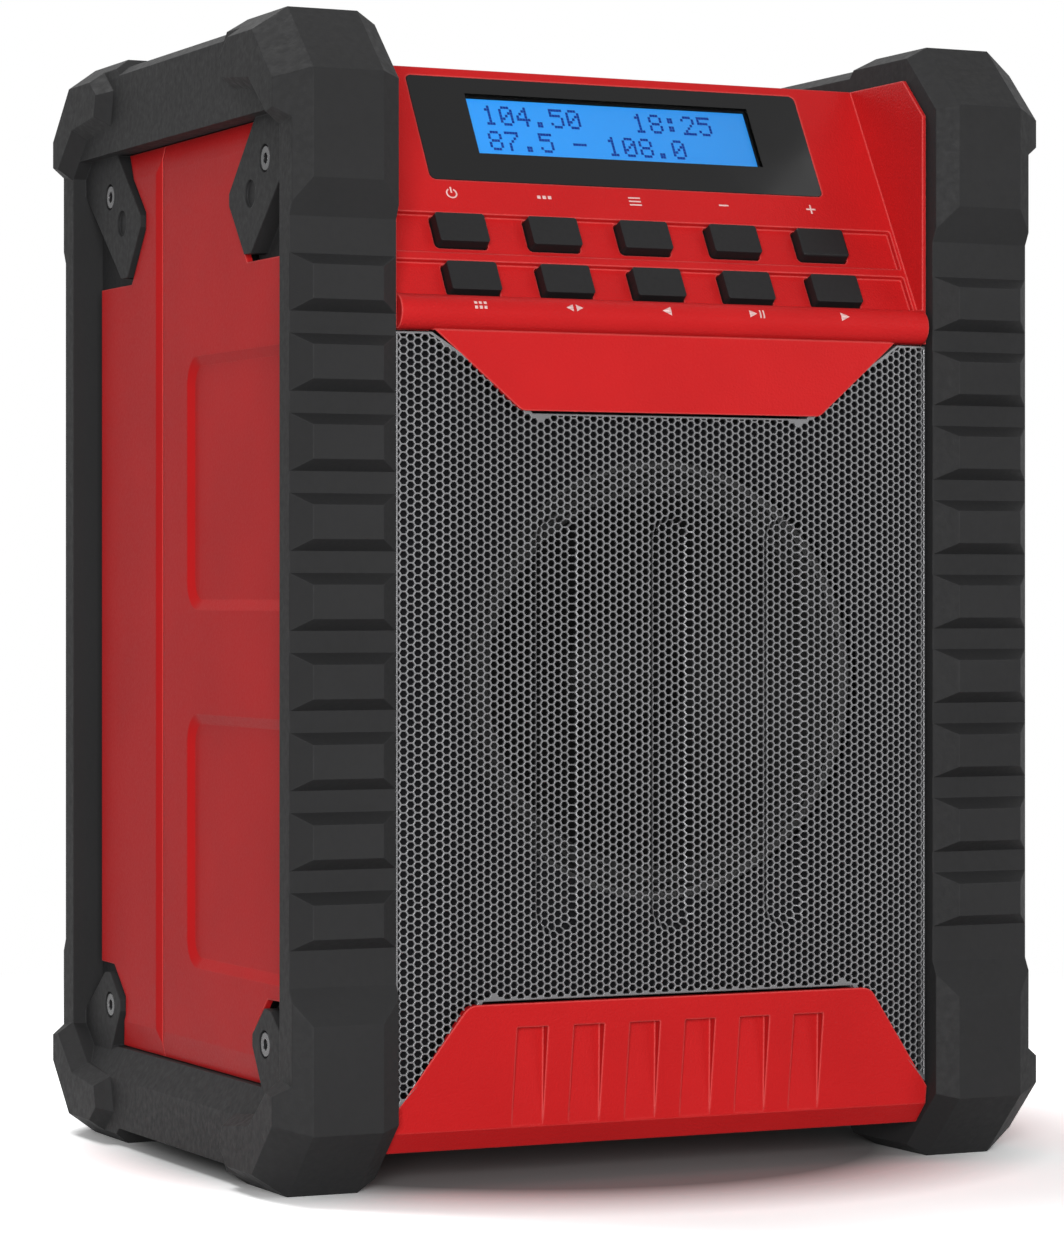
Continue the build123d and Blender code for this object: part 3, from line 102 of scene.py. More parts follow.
# ------------------------------------------------------------ node materials
class Shader:
    """Small helper round one node material."""

    def __init__(self, name):
        self.mat = bpy.data.materials.new(name)
        self.mat.use_nodes = True
        self.tree = self.mat.node_tree
        self.bsdf = self.tree.nodes["Principled BSDF"]
        self.coords = self.tree.nodes.new("ShaderNodeTexCoord").outputs["Object"]

    def node(self, kind, **values):
        made = self.tree.nodes.new(kind)
        for key, value in values.items():
            setattr(made, key, value)
        return made

    def link(self, source, target):
        self.tree.links.new(source, target)

    def noise(self, scale, detail=3.0, rough=0.5):
        tex = self.node("ShaderNodeTexNoise")
        tex.inputs["Scale"].default_value = scale
        tex.inputs["Detail"].default_value = detail
        tex.inputs["Roughness"].default_value = rough
        self.link(self.coords, tex.inputs["Vector"])
        return tex.outputs["Fac"]

    def axis(self, name):
        split = self.node("ShaderNodeSeparateXYZ")
        self.link(self.coords, split.inputs[0])
        return split.outputs[name]

    def level(self, source, low, high, out_low, out_high):
        ramp = self.node("ShaderNodeMapRange")
        self.link(source, ramp.inputs["Value"])
        for key, value in (("From Min", low), ("From Max", high),
                           ("To Min", out_low), ("To Max", out_high)):
            ramp.inputs[key].default_value = value
        return ramp.outputs["Result"]

    def maths(self, operation, *values):
        made = self.node("ShaderNodeMath", operation=operation)
        for index, value in enumerate(values):
            if isinstance(value, (int, float)):
                made.inputs[index].default_value = value
            else:
                self.link(value, made.inputs[index])
        return made.outputs[0]

    def bump(self, height, distance, strength=1.0, normal=None):
        bump = self.node("ShaderNodeBump")
        bump.inputs["Distance"].default_value = distance
        bump.inputs["Strength"].default_value = strength
        self.link(height, bump.inputs["Height"])
        if normal is not None:
            self.link(normal, bump.inputs["Normal"])
        return bump.outputs["Normal"]

    def mix(self, factor, first, second):
        mix = self.node("ShaderNodeMix", data_type="RGBA")
        self.link(factor, mix.inputs["Factor"])
        for value, socket in ((first, mix.inputs[6]), (second, mix.inputs[7])):
            if isinstance(value, tuple):
                socket.default_value = (*value, 1.0)
            else:
                self.link(value, socket)
        return mix.outputs[2]

    def rounded(self, radius):
        """Normal that rounds the crisp edges by radius, in mm."""
        made = self.node("ShaderNodeBevel", samples=6)
        made.inputs["Radius"].default_value = radius * MM
        return made.outputs["Normal"]

    def painted_edge_highlight(self, rounded_normal):
        """1 where the rounded normal turns away from the face: the mask of the painted highlight
        along the edges.
        """
        flat = self.node("ShaderNodeNewGeometry").outputs["True Normal"]
        turn = self.node("ShaderNodeVectorMath", operation="DOT_PRODUCT")
        self.link(rounded_normal, turn.inputs[0])
        self.link(flat, turn.inputs[1])
        return self.level(turn.outputs["Value"], 0.985, 0.86, 0.0, 1.0)

    def set(self, **values):
        for key, value in values.items():
            self.bsdf.inputs[key.replace("_", " ")].default_value = value


def tint(colour, amount):
    return tuple(min(1.0, c * amount) for c in colour)


def moulded(name, colour, grain=1100.0, depth=0.00004, rough=(0.5, 0.62), specular=0.3,
            metallic=0.0):
    """Moulded plastic: eroded grain, faint colour drift, and a painted highlight that lightens the
    edges.
    """
    s = Shader(name)
    drift = s.noise(35.0, 4.0)
    base = s.mix(s.level(drift, 0.3, 0.7, 0.0, 1.0), tint(colour, 0.94), tint(colour, 1.06))
    soft = s.rounded(EDGE_ROUND)
    # painted highlight: the base colour is lightened along the edges
    base = s.mix(s.painted_edge_highlight(soft), base, tint(colour, EDGE_HIGHLIGHT_TINT))
    s.link(base, s.bsdf.inputs["Base Color"])
    fine = s.noise(grain, 2.0)
    s.link(s.level(s.noise(grain * 0.6, 2.0), 0.3, 0.7, *rough), s.bsdf.inputs["Roughness"])
    s.link(s.bump(fine, depth, normal=soft), s.bsdf.inputs["Normal"])
    s.set(IOR=MOULDED_IOR, Specular_IOR_Level=specular, Metallic=metallic)
    return s.mat


# where the red housings are painted black by position, in mm; the real ones may be red there
FIELD_HALF = 70.2
FIELD_Y = (BAFFLE_Y - 0.2, BAFFLE_Y + 8.0)
FIELD_Z = (18.0, 197.7)
NOTCH_X = (85.5, 90.8)
POCKET_HALF = 51.9
POCKET_N = (-8.0, -0.6)
POCKET_Z = (234.0, BODY_TOP - 0.4)
# a little over the half width of the front between the frames
FRONT_HALF = 70.6
WALL_Z = (18.3, 197.7)
WALL_OVER_Z = 42.8
WALL_BESIDE_X = 50.0


def housing():
    """Red satin plastic: grained front, smoother sides, a painted highlight on the edges, some
    recesses painted black.
    """
    s = Shader("housing_red")
    drift = s.noise(35.0, 4.0)
    base = s.mix(s.level(drift, 0.3, 0.7, 0.0, 1.0), tint(RED, 0.95), tint(RED, 1.05))
    soft = s.rounded(0.7)
    # painted highlight: the edges are mixed towards a lighter pinkish red
    highlight_share = s.maths("MULTIPLY", s.painted_edge_highlight(soft), 0.55)
    base = s.mix(highlight_share, base, HIGHLIGHT_RED)
    x, y, z = (s.axis(name) for name in "XYZ")
    across = s.maths("ABSOLUTE", x)

    def between(source, low, high):
        return s.maths("MULTIPLY", s.maths("GREATER_THAN", source, low * MM),
                       s.maths("LESS_THAN", source, high * MM))

    # behind the grille, in the corner notches and behind the display window
    field = s.maths("MULTIPLY", between(y, *FIELD_Y),
                    s.maths("MULTIPLY", between(z, *FIELD_Z),
                            s.maths("LESS_THAN", across, FIELD_HALF * MM)))
    notches = between(across, *NOTCH_X)
    n = s.maths("SUBTRACT",
                s.maths("MULTIPLY", s.maths("SUBTRACT", z, PANEL_FOOT_Z * MM), math.sin(LEAN)),
                s.maths("MULTIPLY", s.maths("SUBTRACT", y, PANEL_FOOT_Y * MM), math.cos(LEAN)))
    behind = s.maths("MULTIPLY", between(n, *POCKET_N),
                     s.maths("LESS_THAN", across, POCKET_HALF * MM))
    behind = s.maths("MULTIPLY", behind, between(z, *POCKET_Z))
    # walls round the grille, behind its sheet
    facing = s.node("ShaderNodeSeparateXYZ")
    s.link(s.node("ShaderNodeNewGeometry").outputs["True Normal"], facing.inputs[0])
    wall = s.maths("LESS_THAN", s.maths("ABSOLUTE", facing.outputs["Y"]), 0.3)
    wall = s.maths("MULTIPLY", wall, s.maths("GREATER_THAN", y, (GRILLE_Y + SHEET) * MM))
    wall = s.maths("MULTIPLY", wall, s.maths("LESS_THAN", across, FRONT_HALF * MM))
    wall = s.maths("MULTIPLY", wall, between(z, *WALL_Z))
    wall = s.maths("MULTIPLY", wall,
                   s.maths("MAXIMUM", s.maths("GREATER_THAN", z, WALL_OVER_Z * MM),
                           s.maths("GREATER_THAN", across, WALL_BESIDE_X * MM)))
    dark = s.maths("MAXIMUM", s.maths("MAXIMUM", field, behind), s.maths("MAXIMUM", notches, wall))
    base = s.mix(dark, base, RECESS_BLACK)
    s.link(base, s.bsdf.inputs["Base Color"])
    # the grain is coarser on the front between the frames than on the sides
    front = s.maths("LESS_THAN", across, FRONT_HALF * MM)
    depth = s.level(front, 0.0, 1.0, 0.25, 1.0)
    grain = s.maths("MULTIPLY", s.noise(1900.0, 2.0, 0.6), depth)
    s.link(s.level(s.noise(1500.0, 2.0), 0.3, 0.7, 0.3, 0.42), s.bsdf.inputs["Roughness"])
    s.link(s.bump(grain, 0.00015, normal=soft), s.bsdf.inputs["Normal"])
    s.link(s.level(front, 0.0, 1.0, 0.08, 0.2), s.bsdf.inputs["Specular IOR Level"])
    s.set(IOR=SATIN_IOR)
    return s.mat


def dark_lens():
    """Tinted glossy lens, clear over the display window."""
    s = Shader("lens")
    s.set(Base_Color=(0.0015, 0.0015, 0.0018, 1.0), Specular_IOR_Level=0.25)
    s.link(s.level(s.noise(60.0, 2.0), 0.3, 0.7, 0.05, 0.09), s.bsdf.inputs["Roughness"])
    across = s.maths("ABSOLUTE", s.axis("X"))
    up = s.maths("DIVIDE", s.maths("SUBTRACT", s.axis("Z"), PANEL_FOOT_Z * MM), math.cos(LEAN))
    middle = (LCD_S[0] + LCD_S[1]) / 2 * MM
    along = s.maths("ABSOLUTE", s.maths("SUBTRACT", up, middle))
    inside = s.maths("MULTIPLY",
                     s.maths("LESS_THAN", across, (LCD_HALF_WIDTH + 0.6) * MM),
                     s.maths("LESS_THAN", along, ((LCD_S[1] - LCD_S[0]) / 2 + 0.6) * MM))
    s.link(s.level(inside, 0.0, 1.0, 1.0, 0.06), s.bsdf.inputs["Alpha"])
    return s.mat


def back_lit(name, colour, strength):
    """Display film with a soft glow that is a little stronger to the left."""
    s = Shader(name)
    glow = s.level(s.axis("X"), -0.037, 0.037, 0.0, 1.0)
    hue = s.mix(glow, tint(colour, 1.12), tint(colour, 0.9))
    s.link(hue, s.bsdf.inputs["Base Color"])
    s.link(hue, s.bsdf.inputs["Emission Color"])
    s.set(Emission_Strength=strength, Roughness=0.4)
    return s.mat


BLACK = (0.019, 0.019, 0.0195)
RED = (0.46, 0.0125, 0.0135)
# lighter red of the painted highlight along the edges of the housing
HIGHLIGHT_RED = (0.78, 0.13, 0.12)
RECESS_BLACK = (0.004, 0.004, 0.004)
# radius in mm of the rounded edges of moulded pieces, and how much lighter their painted edge
# highlight is
EDGE_ROUND = 0.4
EDGE_HIGHLIGHT_TINT = 1.6
# chosen for the sheen of the plastics, not measured
MOULDED_IOR = 1.4
SATIN_IOR = 1.28
materials = {
    "frame_black": moulded("frame_black", BLACK, 1000.0, 0.00005, (0.55, 0.68), 0.16),
    "housing_red": housing(),
    "cover_black": moulded("cover_black", BLACK, 1000.0, 0.00005, (0.55, 0.68), 0.16),
    "grille_metal": moulded("grille_metal", (0.15, 0.15, 0.155), 600.0, 0.00001, (0.32, 0.4),
                            0.5, 0.5),
    "baffle_black": moulded("baffle_black", (0.006, 0.006, 0.007), specular=0.1),
    "lens": dark_lens(),
    "lcd_blue": back_lit("lcd_blue", (0.012, 0.2, 0.58), 0.6),
    "lcd_ink": moulded("lcd_ink", (0.004, 0.035, 0.30), 400.0, 0.000002),
    "print_light": moulded("print_light", (0.72, 0.46, 0.44), 400.0, 0.000002),
    "key_rubber": moulded("key_rubber", (0.008, 0.008, 0.0085), 1500.0, 0.00003, (0.45, 0.6),
                          0.25),
    "seal_rubber": moulded("seal_rubber", (0.018, 0.018, 0.018), specular=0.2),
    "board_green": moulded("board_green", (0.02, 0.18, 0.06)),
    "module_grey": moulded("module_grey", (0.02, 0.02, 0.02)),
    "steel": moulded("steel", (0.5, 0.5, 0.5), 400.0, 0.00001, (0.25, 0.35), 0.5, 0.9),
    "screw_black": moulded("screw_black", (0.07, 0.07, 0.072), 400.0, 0.00001, (0.22, 0.3),
                           0.5, 0.8),
    "antenna_chrome": moulded("antenna_chrome", (0.75, 0.75, 0.77), 400.0, 0.000004,
                              (0.08, 0.15), 0.5, 1.0),
    "cone_paper": moulded("cone_paper", (0.006, 0.006, 0.006), specular=0.1),
    "magnet_black": moulded("magnet_black", (0.03, 0.03, 0.03)),
    "basket_black": moulded("basket_black", (0.05, 0.05, 0.05), specular=0.3),
    "contact_brass": moulded("contact_brass", (0.6, 0.45, 0.2), metallic=0.9),
    "aluminium_plain": moulded("aluminium_plain", (0.6, 0.6, 0.6), metallic=0.9),
    "battery_case": moulded("battery_case", (0.05, 0.05, 0.055)),
}
for entry in frame["record"]["subparts"]:
    node = nodes[entry["node"]]
    node.data.materials.clear()
    node.data.materials.append(materials[entry["material_slot"]])


# --------------------------------------------------------------- soft edges
SAME_POINT = 0.000005
FLAT_WITHIN = math.radians(0.6)
ROUND_FROM = math.radians(28.0)


def soften(name, width, segments=2):
    """Merge the coplanar facets of a node, then round its sharper edges by width, in mm."""
    node = nodes[name]
    node.data.shade_flat()
    weld = node.modifiers.new("weld", "WELD")
    weld.merge_threshold = SAME_POINT
    flat = node.modifiers.new("flat", "DECIMATE")
    flat.decimate_type = "DISSOLVE"
    flat.angle_limit = FLAT_WITHIN
    bevel = node.modifiers.new("bevel", "BEVEL")
    bevel.width = width * MM
    bevel.segments = segments
    bevel.limit_method = "ANGLE"
    bevel.angle_limit = ROUND_FROM
    bevel.use_clamp_overlap = True


for side in ("left", "right"):
    soften(f"{side}_side_frame", 0.5)
for name in nodes:
    if name.startswith("button_"):
        soften(name, 0.8, 3)


# ------------------------------------------------------------ pieces of this scene
def new_piece(name, slot_name, body="radio"):
    mesh = bpy.data.meshes.new(name)
    piece = bpy.data.objects.new(name, mesh)
    scene.collection.objects.link(piece)
    mesh.materials.append(materials[slot_name])
    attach(piece, body)
    return piece


# ------------------------------------------------------------------- grille
def arc_corner(before, corner, after, radius, steps=5):
    """Points of the round that joins two straight runs at corner."""
    to_before = (Vector(before) - Vector(corner)).normalized()
    to_after = (Vector(after) - Vector(corner)).normalized()
    half = to_before.angle(to_after) / 2
    reach = radius / math.tan(half)
    centre = Vector(corner) + (to_before + to_after).normalized() * (radius / math.sin(half))
    start = Vector(corner) + to_before * reach - centre
    finish = Vector(corner) + to_after * reach - centre
    return [centre + start.slerp(finish, step / steps) for step in range(steps + 1)]


def grille_loop(inset):
    """Outline of the grille sheet in (x, z), with the same points at every inset."""
    lean_top = (PLATE_TOP[0] - PLATE_BOTTOM[0]) / PLATE_HEIGHT
    half = EDGE_X - inset
    gap = FIELD_SEAM + inset
    plate_z, skirt_z = PLATE_BOTTOM[1] - gap, SKIRT_TOP[1] + gap
    low_z = SKIRT_LOW_Z + 2 * gap
    top_z = PLATE_TOP[1] - gap
    plate_x = PLATE_TOP[0] + gap * lean_top
    plate = arc_corner((plate_x, top_z), (PLATE_BOTTOM[0], plate_z), (0, plate_z),
                       PLATE_CORNER + gap)
    skirt = arc_corner((0, skirt_z), (SKIRT_TOP[0], skirt_z), (half, low_z), SKIRT_CORNER + gap)
    runs = [
        ((half, low_z), (half, top_z), 60),
        ((half, top_z), (plate_x, top_z), 5),
        ((plate_x, top_z), tuple(plate[0]), 14),
    ]
    right = []
    for start, end, count in runs:
        for step in range(count):
            right.append(Vector(start).lerp(Vector(end), step / count))
    right += plate
    across = 2 * plate[-1].x
    top = [Vector((plate[-1].x - across * step / 44, plate_z)) for step in range(1, 44)]
    left = [Vector((-p.x, p.y)) for p in reversed(right)]
    down = [skirt[-1].lerp(Vector((half, low_z)), step / 16) for step in range(1, 16)]
    skirt_right = skirt + down
    skirt_left = [Vector((-p.x, p.y)) for p in reversed(skirt_right)]
    across = 2 * skirt[0].x
    low_run = [Vector((-skirt[0].x + across * step / 60, skirt_z)) for step in range(1, 60)]
    return right + top + left + skirt_left + low_run + skirt_right


def grille_y(x, z):
    """Depth of the front face of the pressed sheet, in mm."""
    y = GRILLE_Y
    if abs(x) > CREASE_X:
        y += SIDE_DROP * (abs(x) - CREASE_X) / (EDGE_X - CREASE_X)
    for flute_x in FLUTE_XS:
        reach = FLUTE_HALF_LENGTH - FLUTE_HALF_WIDTH
        beyond = max(0.0, abs(z - FLUTE_CENTRE_Z) - reach)
        away = math.hypot(x - flute_x, beyond)
        share = min(1.0, max(0.0, (FLUTE_HALF_WIDTH + FLUTE_SPILL - away) / FLUTE_SLOPE))
        y += FLUTE_DEPTH * share * share * (3 - 2 * share)
    return y


def cell_corners(column, row):
    """Hexagonal cell of the perforation, around its centre."""
    x = column * CELL_PITCH_X
    z = FLUTE_CENTRE_Z + (row + (0.5 if column % 2 else 0.0)) * CELL_PITCH_Z
    wide, tall = CELL_PITCH_X * 2 / 3, CELL_PITCH_Z / 2
    corners = [(x + wide, z), (x + wide / 2, z + tall), (x - wide / 2, z + tall),
               (x - wide, z), (x - wide / 2, z - tall), (x + wide / 2, z - tall)]
    return (x, z), corners


def inside(point, loop):
    """Whether a point lies in a closed outline."""
    hit = False
    x, z = point
    for a, b in zip(loop, loop[1:] + loop[:1]):
        if (a[1] > z) != (b[1] > z) and x < a[0] + (z - a[1]) * (b[0] - a[0]) / (b[1] - a[1]):
            hit = not hit
    return hit


def area_of(loop):
    return 0.5 * sum(a[0] * b[1] - b[0] * a[1] for a, b in zip(loop, loop[1:] + loop[:1]))


def clipped(hole, loop, reach=4.0):
    """Part of a convex hole that lies inside the outline, cut along its nearest edges."""
    middle = Vector((sum(p[0] for p in hole), sum(p[1] for p in hole))) / len(hole)
    for a, b in zip(loop, loop[1:] + loop[:1]):
        a, b = Vector(a), Vector(b)
        if min((a - middle).length, (b - middle).length) > reach or (b - a).length < 1e-6:
            continue
        inward = Vector((a.y - b.y, b.x - a.x)).normalized()
        kept = []
        for p, q in zip(hole, hole[1:] + hole[:1]):
            p_in, q_in = (Vector(p) - a).dot(inward), (Vector(q) - a).dot(inward)
            if p_in >= 0:
                kept.append(p)
            if (p_in < 0) != (q_in < 0):
                share = p_in / (p_in - q_in)
                kept.append(tuple(Vector(p).lerp(Vector(q), share)))
        hole = kept
        if len(hole) < 3:
            return []
    tidy = [p for p, q in zip(hole, hole[1:] + hole[:1])
            if (Vector(p) - Vector(q)).length > 0.05]
    return tidy if len(tidy) > 2 else []


def shrink_to(centre, loop, share):
    return [(centre[0] + (p[0] - centre[0]) * share, centre[1] + (p[1] - centre[1]) * share)
            for p in loop]


class Sheet:
    """One mesh of the perforated sheet, built face by face in millimetres."""

    def __init__(self):
        self.bm = bmesh.new()

    def vert(self, p, y):
        return self.bm.verts.new((p[0] * MM, y * MM, p[1] * MM))

    def face(self, corners, back=False):
        self.bm.faces.new(corners[::-1] if back else corners)

    def strip(self, first, second):
        """Closed band of quads between two loops of vertices."""
        count = len(first)
        for k in range(count):
            j = (k + 1) % count
            self.face((first[k], second[k], second[j], first[j]))


def build_grille():
    """Pressed sheet with hexagonal holes that are cut by the border, and a rim behind."""
    outer = [tuple(p) for p in grille_loop(0.0)]
    inner = [tuple(p) for p in grille_loop(RIM)]
    limit = [tuple(p) for p in grille_loop(RIM + HOLE_MARGIN)]
    if area_of(limit) < 0:
        limit.reverse()
    cells, cut_holes = [], []
    for column in range(-CELL_COLUMNS, CELL_COLUMNS + 1):
        for row in range(-CELL_ROWS, CELL_ROWS + 1):
            centre, corners = cell_corners(column, row)
            hits = sum(inside(p, limit) for p in corners)
            if hits == 6:
                cells.append((centre, corners))
            elif hits or inside(centre, limit):
                hole = clipped(shrink_to(centre, corners, HOLE_SHARE), limit)
                if hole and abs(area_of(hole)) > LEAST_HOLE_AREA:
                    cut_holes.append(hole)
    lattice, points = {}, []

    def lattice_index(p):
        key = (round(p[0], 3), round(p[1], 3))
        if key not in lattice:
            lattice[key] = len(points)
            points.append(key)
        return lattice[key]

    rings, edge_count, nearby = [], {}, {}
    for centre, corners in cells:
        ring = [lattice_index(p) for p in corners]
        rings.append((centre, ring))
        nearby.setdefault((round(centre[0] / 2), round(centre[1] / 2)), []).append(corners)
        for a, b in zip(ring, ring[1:] + ring[:1]):
            edge_count.setdefault(frozenset((a, b)), []).append((a, b))
    for hole in cut_holes:
        centre = hole[0]
        nearby.setdefault((round(centre[0] / 2), round(centre[1] / 2)), []).append(hole)
    rim = [pair[0] for pair in edge_count.values() if len(pair) == 1]

    def is_open(p):
        gx, gz = round(p[0] / 2), round(p[1] / 2)
        return any(inside(p, corners) for dx in (-1, 0, 1) for dz in (-1, 0, 1)
                   for corners in nearby.get((gx + dx, gz + dz), ()))

    sheet = Sheet()

    def side_of(loop, back):
        """Border, webs and hole edges of the front or the back of the sheet."""
        depth = SHEET if back else 0.0
        flat, edges = [Vector(p) for p in loop], []
        edges += [(i, (i + 1) % len(loop)) for i in range(len(loop))]
        where = {}
        for a, b in rim:
            for v in (a, b):
                if v not in where:
                    where[v] = len(flat)
                    flat.append(Vector(points[v]))
            edges.append((where[a], where[b]))
        for hole in cut_holes:
            start = len(flat)
            flat += [Vector(p) for p in hole]
            edges += [(start + k, start + (k + 1) % len(hole)) for k in range(len(hole))]
        made = geometry.delaunay_2d_cdt(flat, edges, [list(range(len(loop)))], 1, 1e-5)
        verts = {}

        def shared(p):
            key = (round(p[0], 3), round(p[1], 3))
            if key not in verts:
                verts[key] = sheet.vert(p, grille_y(*p) + depth)
            return verts[key]

        for face in made[2]:
            corners = [made[0][i] for i in face]
            middle = (sum(c[0] for c in corners) / 3, sum(c[1] for c in corners) / 3)
            found = [shared(c) for c in corners]
            if not is_open(middle) and len(set(found)) == 3:
                sheet.face(found, back)
        holes = [[shared(p) for p in hole] for hole in cut_holes]
        for centre, ring in rings:
            rounded = shrink_to(centre, [points[v] for v in ring], HOLE_SHARE)
            hole = [sheet.vert(q, grille_y(*q) + depth) for q in rounded]
            holes.append(hole)
            for k in range(6):
                j = (k + 1) % 6
                sheet.face((shared(points[ring[k]]), shared(points[ring[j]]),
                            hole[j], hole[k]), back)
        return [shared(p) for p in loop], holes

    front_loop, front_holes = side_of(outer, False)
    back_loop, back_holes = side_of(inner, True)
    for near, far in zip(front_holes, back_holes):
        sheet.strip(near, far)
    outer_rear = [sheet.vert(p, BAFFLE_Y) for p in outer]
    inner_rear = [sheet.vert(p, BAFFLE_Y) for p in inner]
    for first, second in ((front_loop, outer_rear), (outer_rear, inner_rear),
                          (inner_rear, back_loop)):
        sheet.strip(first, second)
    bmesh.ops.recalc_face_normals(sheet.bm, faces=sheet.bm.faces)
    piece = new_piece("perforated_grille", "grille_metal")
    sheet.bm.to_mesh(piece.data)
    sheet.bm.free()
    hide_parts("speaker_grille")


build_grille()

# ------------------------------------------------- display digits and key symbols
DIGITS = {
    "0": ("01110", "10001", "10011", "10101", "11001", "10001", "01110"),
    "1": ("00100", "01100", "00100", "00100", "00100", "00100", "01110"),
    "2": ("01110", "10001", "00001", "00010", "00100", "01000", "11111"),
    "3": ("11111", "00010", "00100", "00010", "00001", "10001", "01110"),
    "4": ("00010", "00110", "01010", "10010", "11111", "00010", "00010"),
    "5": ("11111", "10000", "11110", "00001", "00001", "10001", "01110"),
    "7": ("11111", "00001", "00010", "00100", "01000", "01000", "01000"),
    "8": ("01110", "10001", "10001", "01110", "10001", "10001", "01110"),
    "9": ("01110", "10001", "10001", "01111", "00001", "00010", "01100"),
    ".": ("00000", "00000", "00000", "00000", "00000", "01100", "01100"),
    ":": ("00000", "01100", "01100", "00000", "01100", "01100", "00000"),
    "-": ("00000", "00000", "00000", "11111", "00000", "00000", "00000"),
}
DOT = 0.68
CHARACTER_PITCH = 4.45
FIRST_CHARACTER_X = -33.6
FIRST_LINE_DROP = 2.1
LINE_PITCH = 7.4


def roll_rise(up):
    """How far the roll stands out of the panel plane at this height along it."""
    return ROLL_N + math.sqrt(max(0.0, ROLL_RADIUS ** 2 - (up - ROLL_S) ** 2))


def flat_print(name, slot_name, outlines, n, thick=0.04):
    """Thin raised print: closed outlines in panel coordinates, n(up) out of the panel."""
    bm = bmesh.new()
    for outline in outlines:
        low = [bm.verts.new(on_panel(x, up, n(up))) for x, up in outline]
        high = [bm.verts.new(on_panel(x, up, n(up) + thick)) for x, up in outline]
        bm.faces.new(high)
        bm.faces.new(low[::-1])
        for k in range(len(low)):
            j = (k + 1) % len(low)
            bm.faces.new((low[k], low[j], high[j], high[k]))
    bmesh.ops.recalc_face_normals(bm, faces=bm.faces)
    piece = new_piece(name, slot_name)
    bm.to_mesh(piece.data)
    bm.free()
    return piece


def square(x, up, half_x, half_up):
    return [(x - half_x, up - half_up), (x + half_x, up - half_up),
            (x + half_x, up + half_up), (x - half_x, up + half_up)]


def bar(x_low, x_high, up, half=0.25):
    return square((x_low + x_high) / 2, up, (x_high - x_low) / 2, half)


dots = []
for line, text in enumerate(("104.50   18:25", "87.5 - 108.0")):
    line_top = LCD_S[1] - FIRST_LINE_DROP - line * LINE_PITCH
    for place, character in enumerate(text):
        for row, bits in enumerate(DIGITS.get(character, ())):
            for column, bit in enumerate(bits):
                if bit == "1":
                    x = FIRST_CHARACTER_X + place * CHARACTER_PITCH + column * DOT * 1.06
                    dots.append(square(x, line_top - row * DOT * 1.2, DOT * 0.48, DOT * 0.54))
display_digits = flat_print("display_digits", "lcd_blue", dots, lambda up: LCD_DEPTH, 0.03)
display_digits.data.materials[0] = materials["lcd_ink"]


def ring_part(x, up, radius, half, start, end, steps=18):
    """Bent bar from angle start to end, in degrees, as short quads."""
    quads = []
    for step in range(steps):
        a = math.radians(start + (end - start) * step / steps)
        b = math.radians(start + (end - start) * (step + 1) / steps)
        quads.append([(x + r * math.cos(t), up + r * math.sin(t))
                      for r, t in ((radius - half, a), (radius + half, a),
                                   (radius + half, b), (radius - half, b))])
    return quads


def arrow(x, up, size, direction):
    """Triangle that points left (-1) or right (1), in three bands so that it can bend."""
    bands = []
    for low, high in ((-1.0, -0.34), (-0.34, 0.34), (0.34, 1.0)):
        edge = []
        for level in (low, high):
            reach = 2 * (1 - abs(level)) - 1
            edge.append((x + direction * size * reach, up + size * level))
        base = x - direction * size
        tip = [(x + direction * size, up)] if low < 0 < high else []
        points = [(base, up + size * low), edge[0], *tip, edge[1], (base, up + size * high)]
        bands.append([p for k, p in enumerate(points) if p != points[k - 1]])
    return bands


UPPER_S, LOWER_S = 32.0, -1.5
LOWER_XS = [x - 1.5 for x in KEY_XS]
upper_symbols = {
    "power_symbol": ring_part(KEY_XS[0], UPPER_S, 1.25, 0.2, 120, 420)
    + [square(KEY_XS[0], UPPER_S + 0.95, 0.2, 0.85)],
    "mode_symbol": [square(KEY_XS[1] - 1.4, UPPER_S, 0.45, 0.45),
                    square(KEY_XS[1], UPPER_S, 0.45, 0.45),
                    square(KEY_XS[1] + 1.4, UPPER_S, 0.45, 0.45)],
    "menu_symbol": [bar(KEY_XS[2] - 1.6, KEY_XS[2] + 1.6, UPPER_S + lift, 0.2)
                    for lift in (-1.0, 0.0, 1.0)],
    "minus_symbol": [bar(KEY_XS[3] - 1.3, KEY_XS[3] + 1.3, UPPER_S, 0.22)],
    "plus_symbol": [bar(KEY_XS[4] - 1.3, KEY_XS[4] + 1.3, UPPER_S, 0.22),
                    square(KEY_XS[4], UPPER_S + 0.77, 0.22, 0.53),
                    square(KEY_XS[4], UPPER_S - 0.77, 0.22, 0.53)],
}
lower_symbols = {
    "preset_symbol": [square(LOWER_XS[0] + shift, LOWER_S + lift, 0.38, 0.38)
                      for shift in (-1.2, 0.0, 1.2) for lift in (-0.6, 0.6)],
    "scan_symbol": arrow(LOWER_XS[1] - 1.3, LOWER_S, 0.9, -1)
    + arrow(LOWER_XS[1] + 1.3, LOWER_S, 0.9, 1),
    "previous_symbol": arrow(LOWER_XS[2], LOWER_S, 1.15, -1),
    "play_symbol": arrow(LOWER_XS[3] - 1.0, LOWER_S, 1.0, 1)
    + [square(LOWER_XS[3] + shift, LOWER_S + lift, 0.2, 0.36)
       for shift in (0.9, 1.8) for lift in (-0.72, 0.0, 0.72)],
    "next_symbol": arrow(LOWER_XS[4], LOWER_S, 1.15, 1),
}
for row, rise in ((upper_symbols, lambda up: 0.0), (lower_symbols, roll_rise)):
    for name, outlines in row.items():
        printed = flat_print(name, "housing_red", outlines, rise)
        printed.data.materials[0] = materials["print_light"]

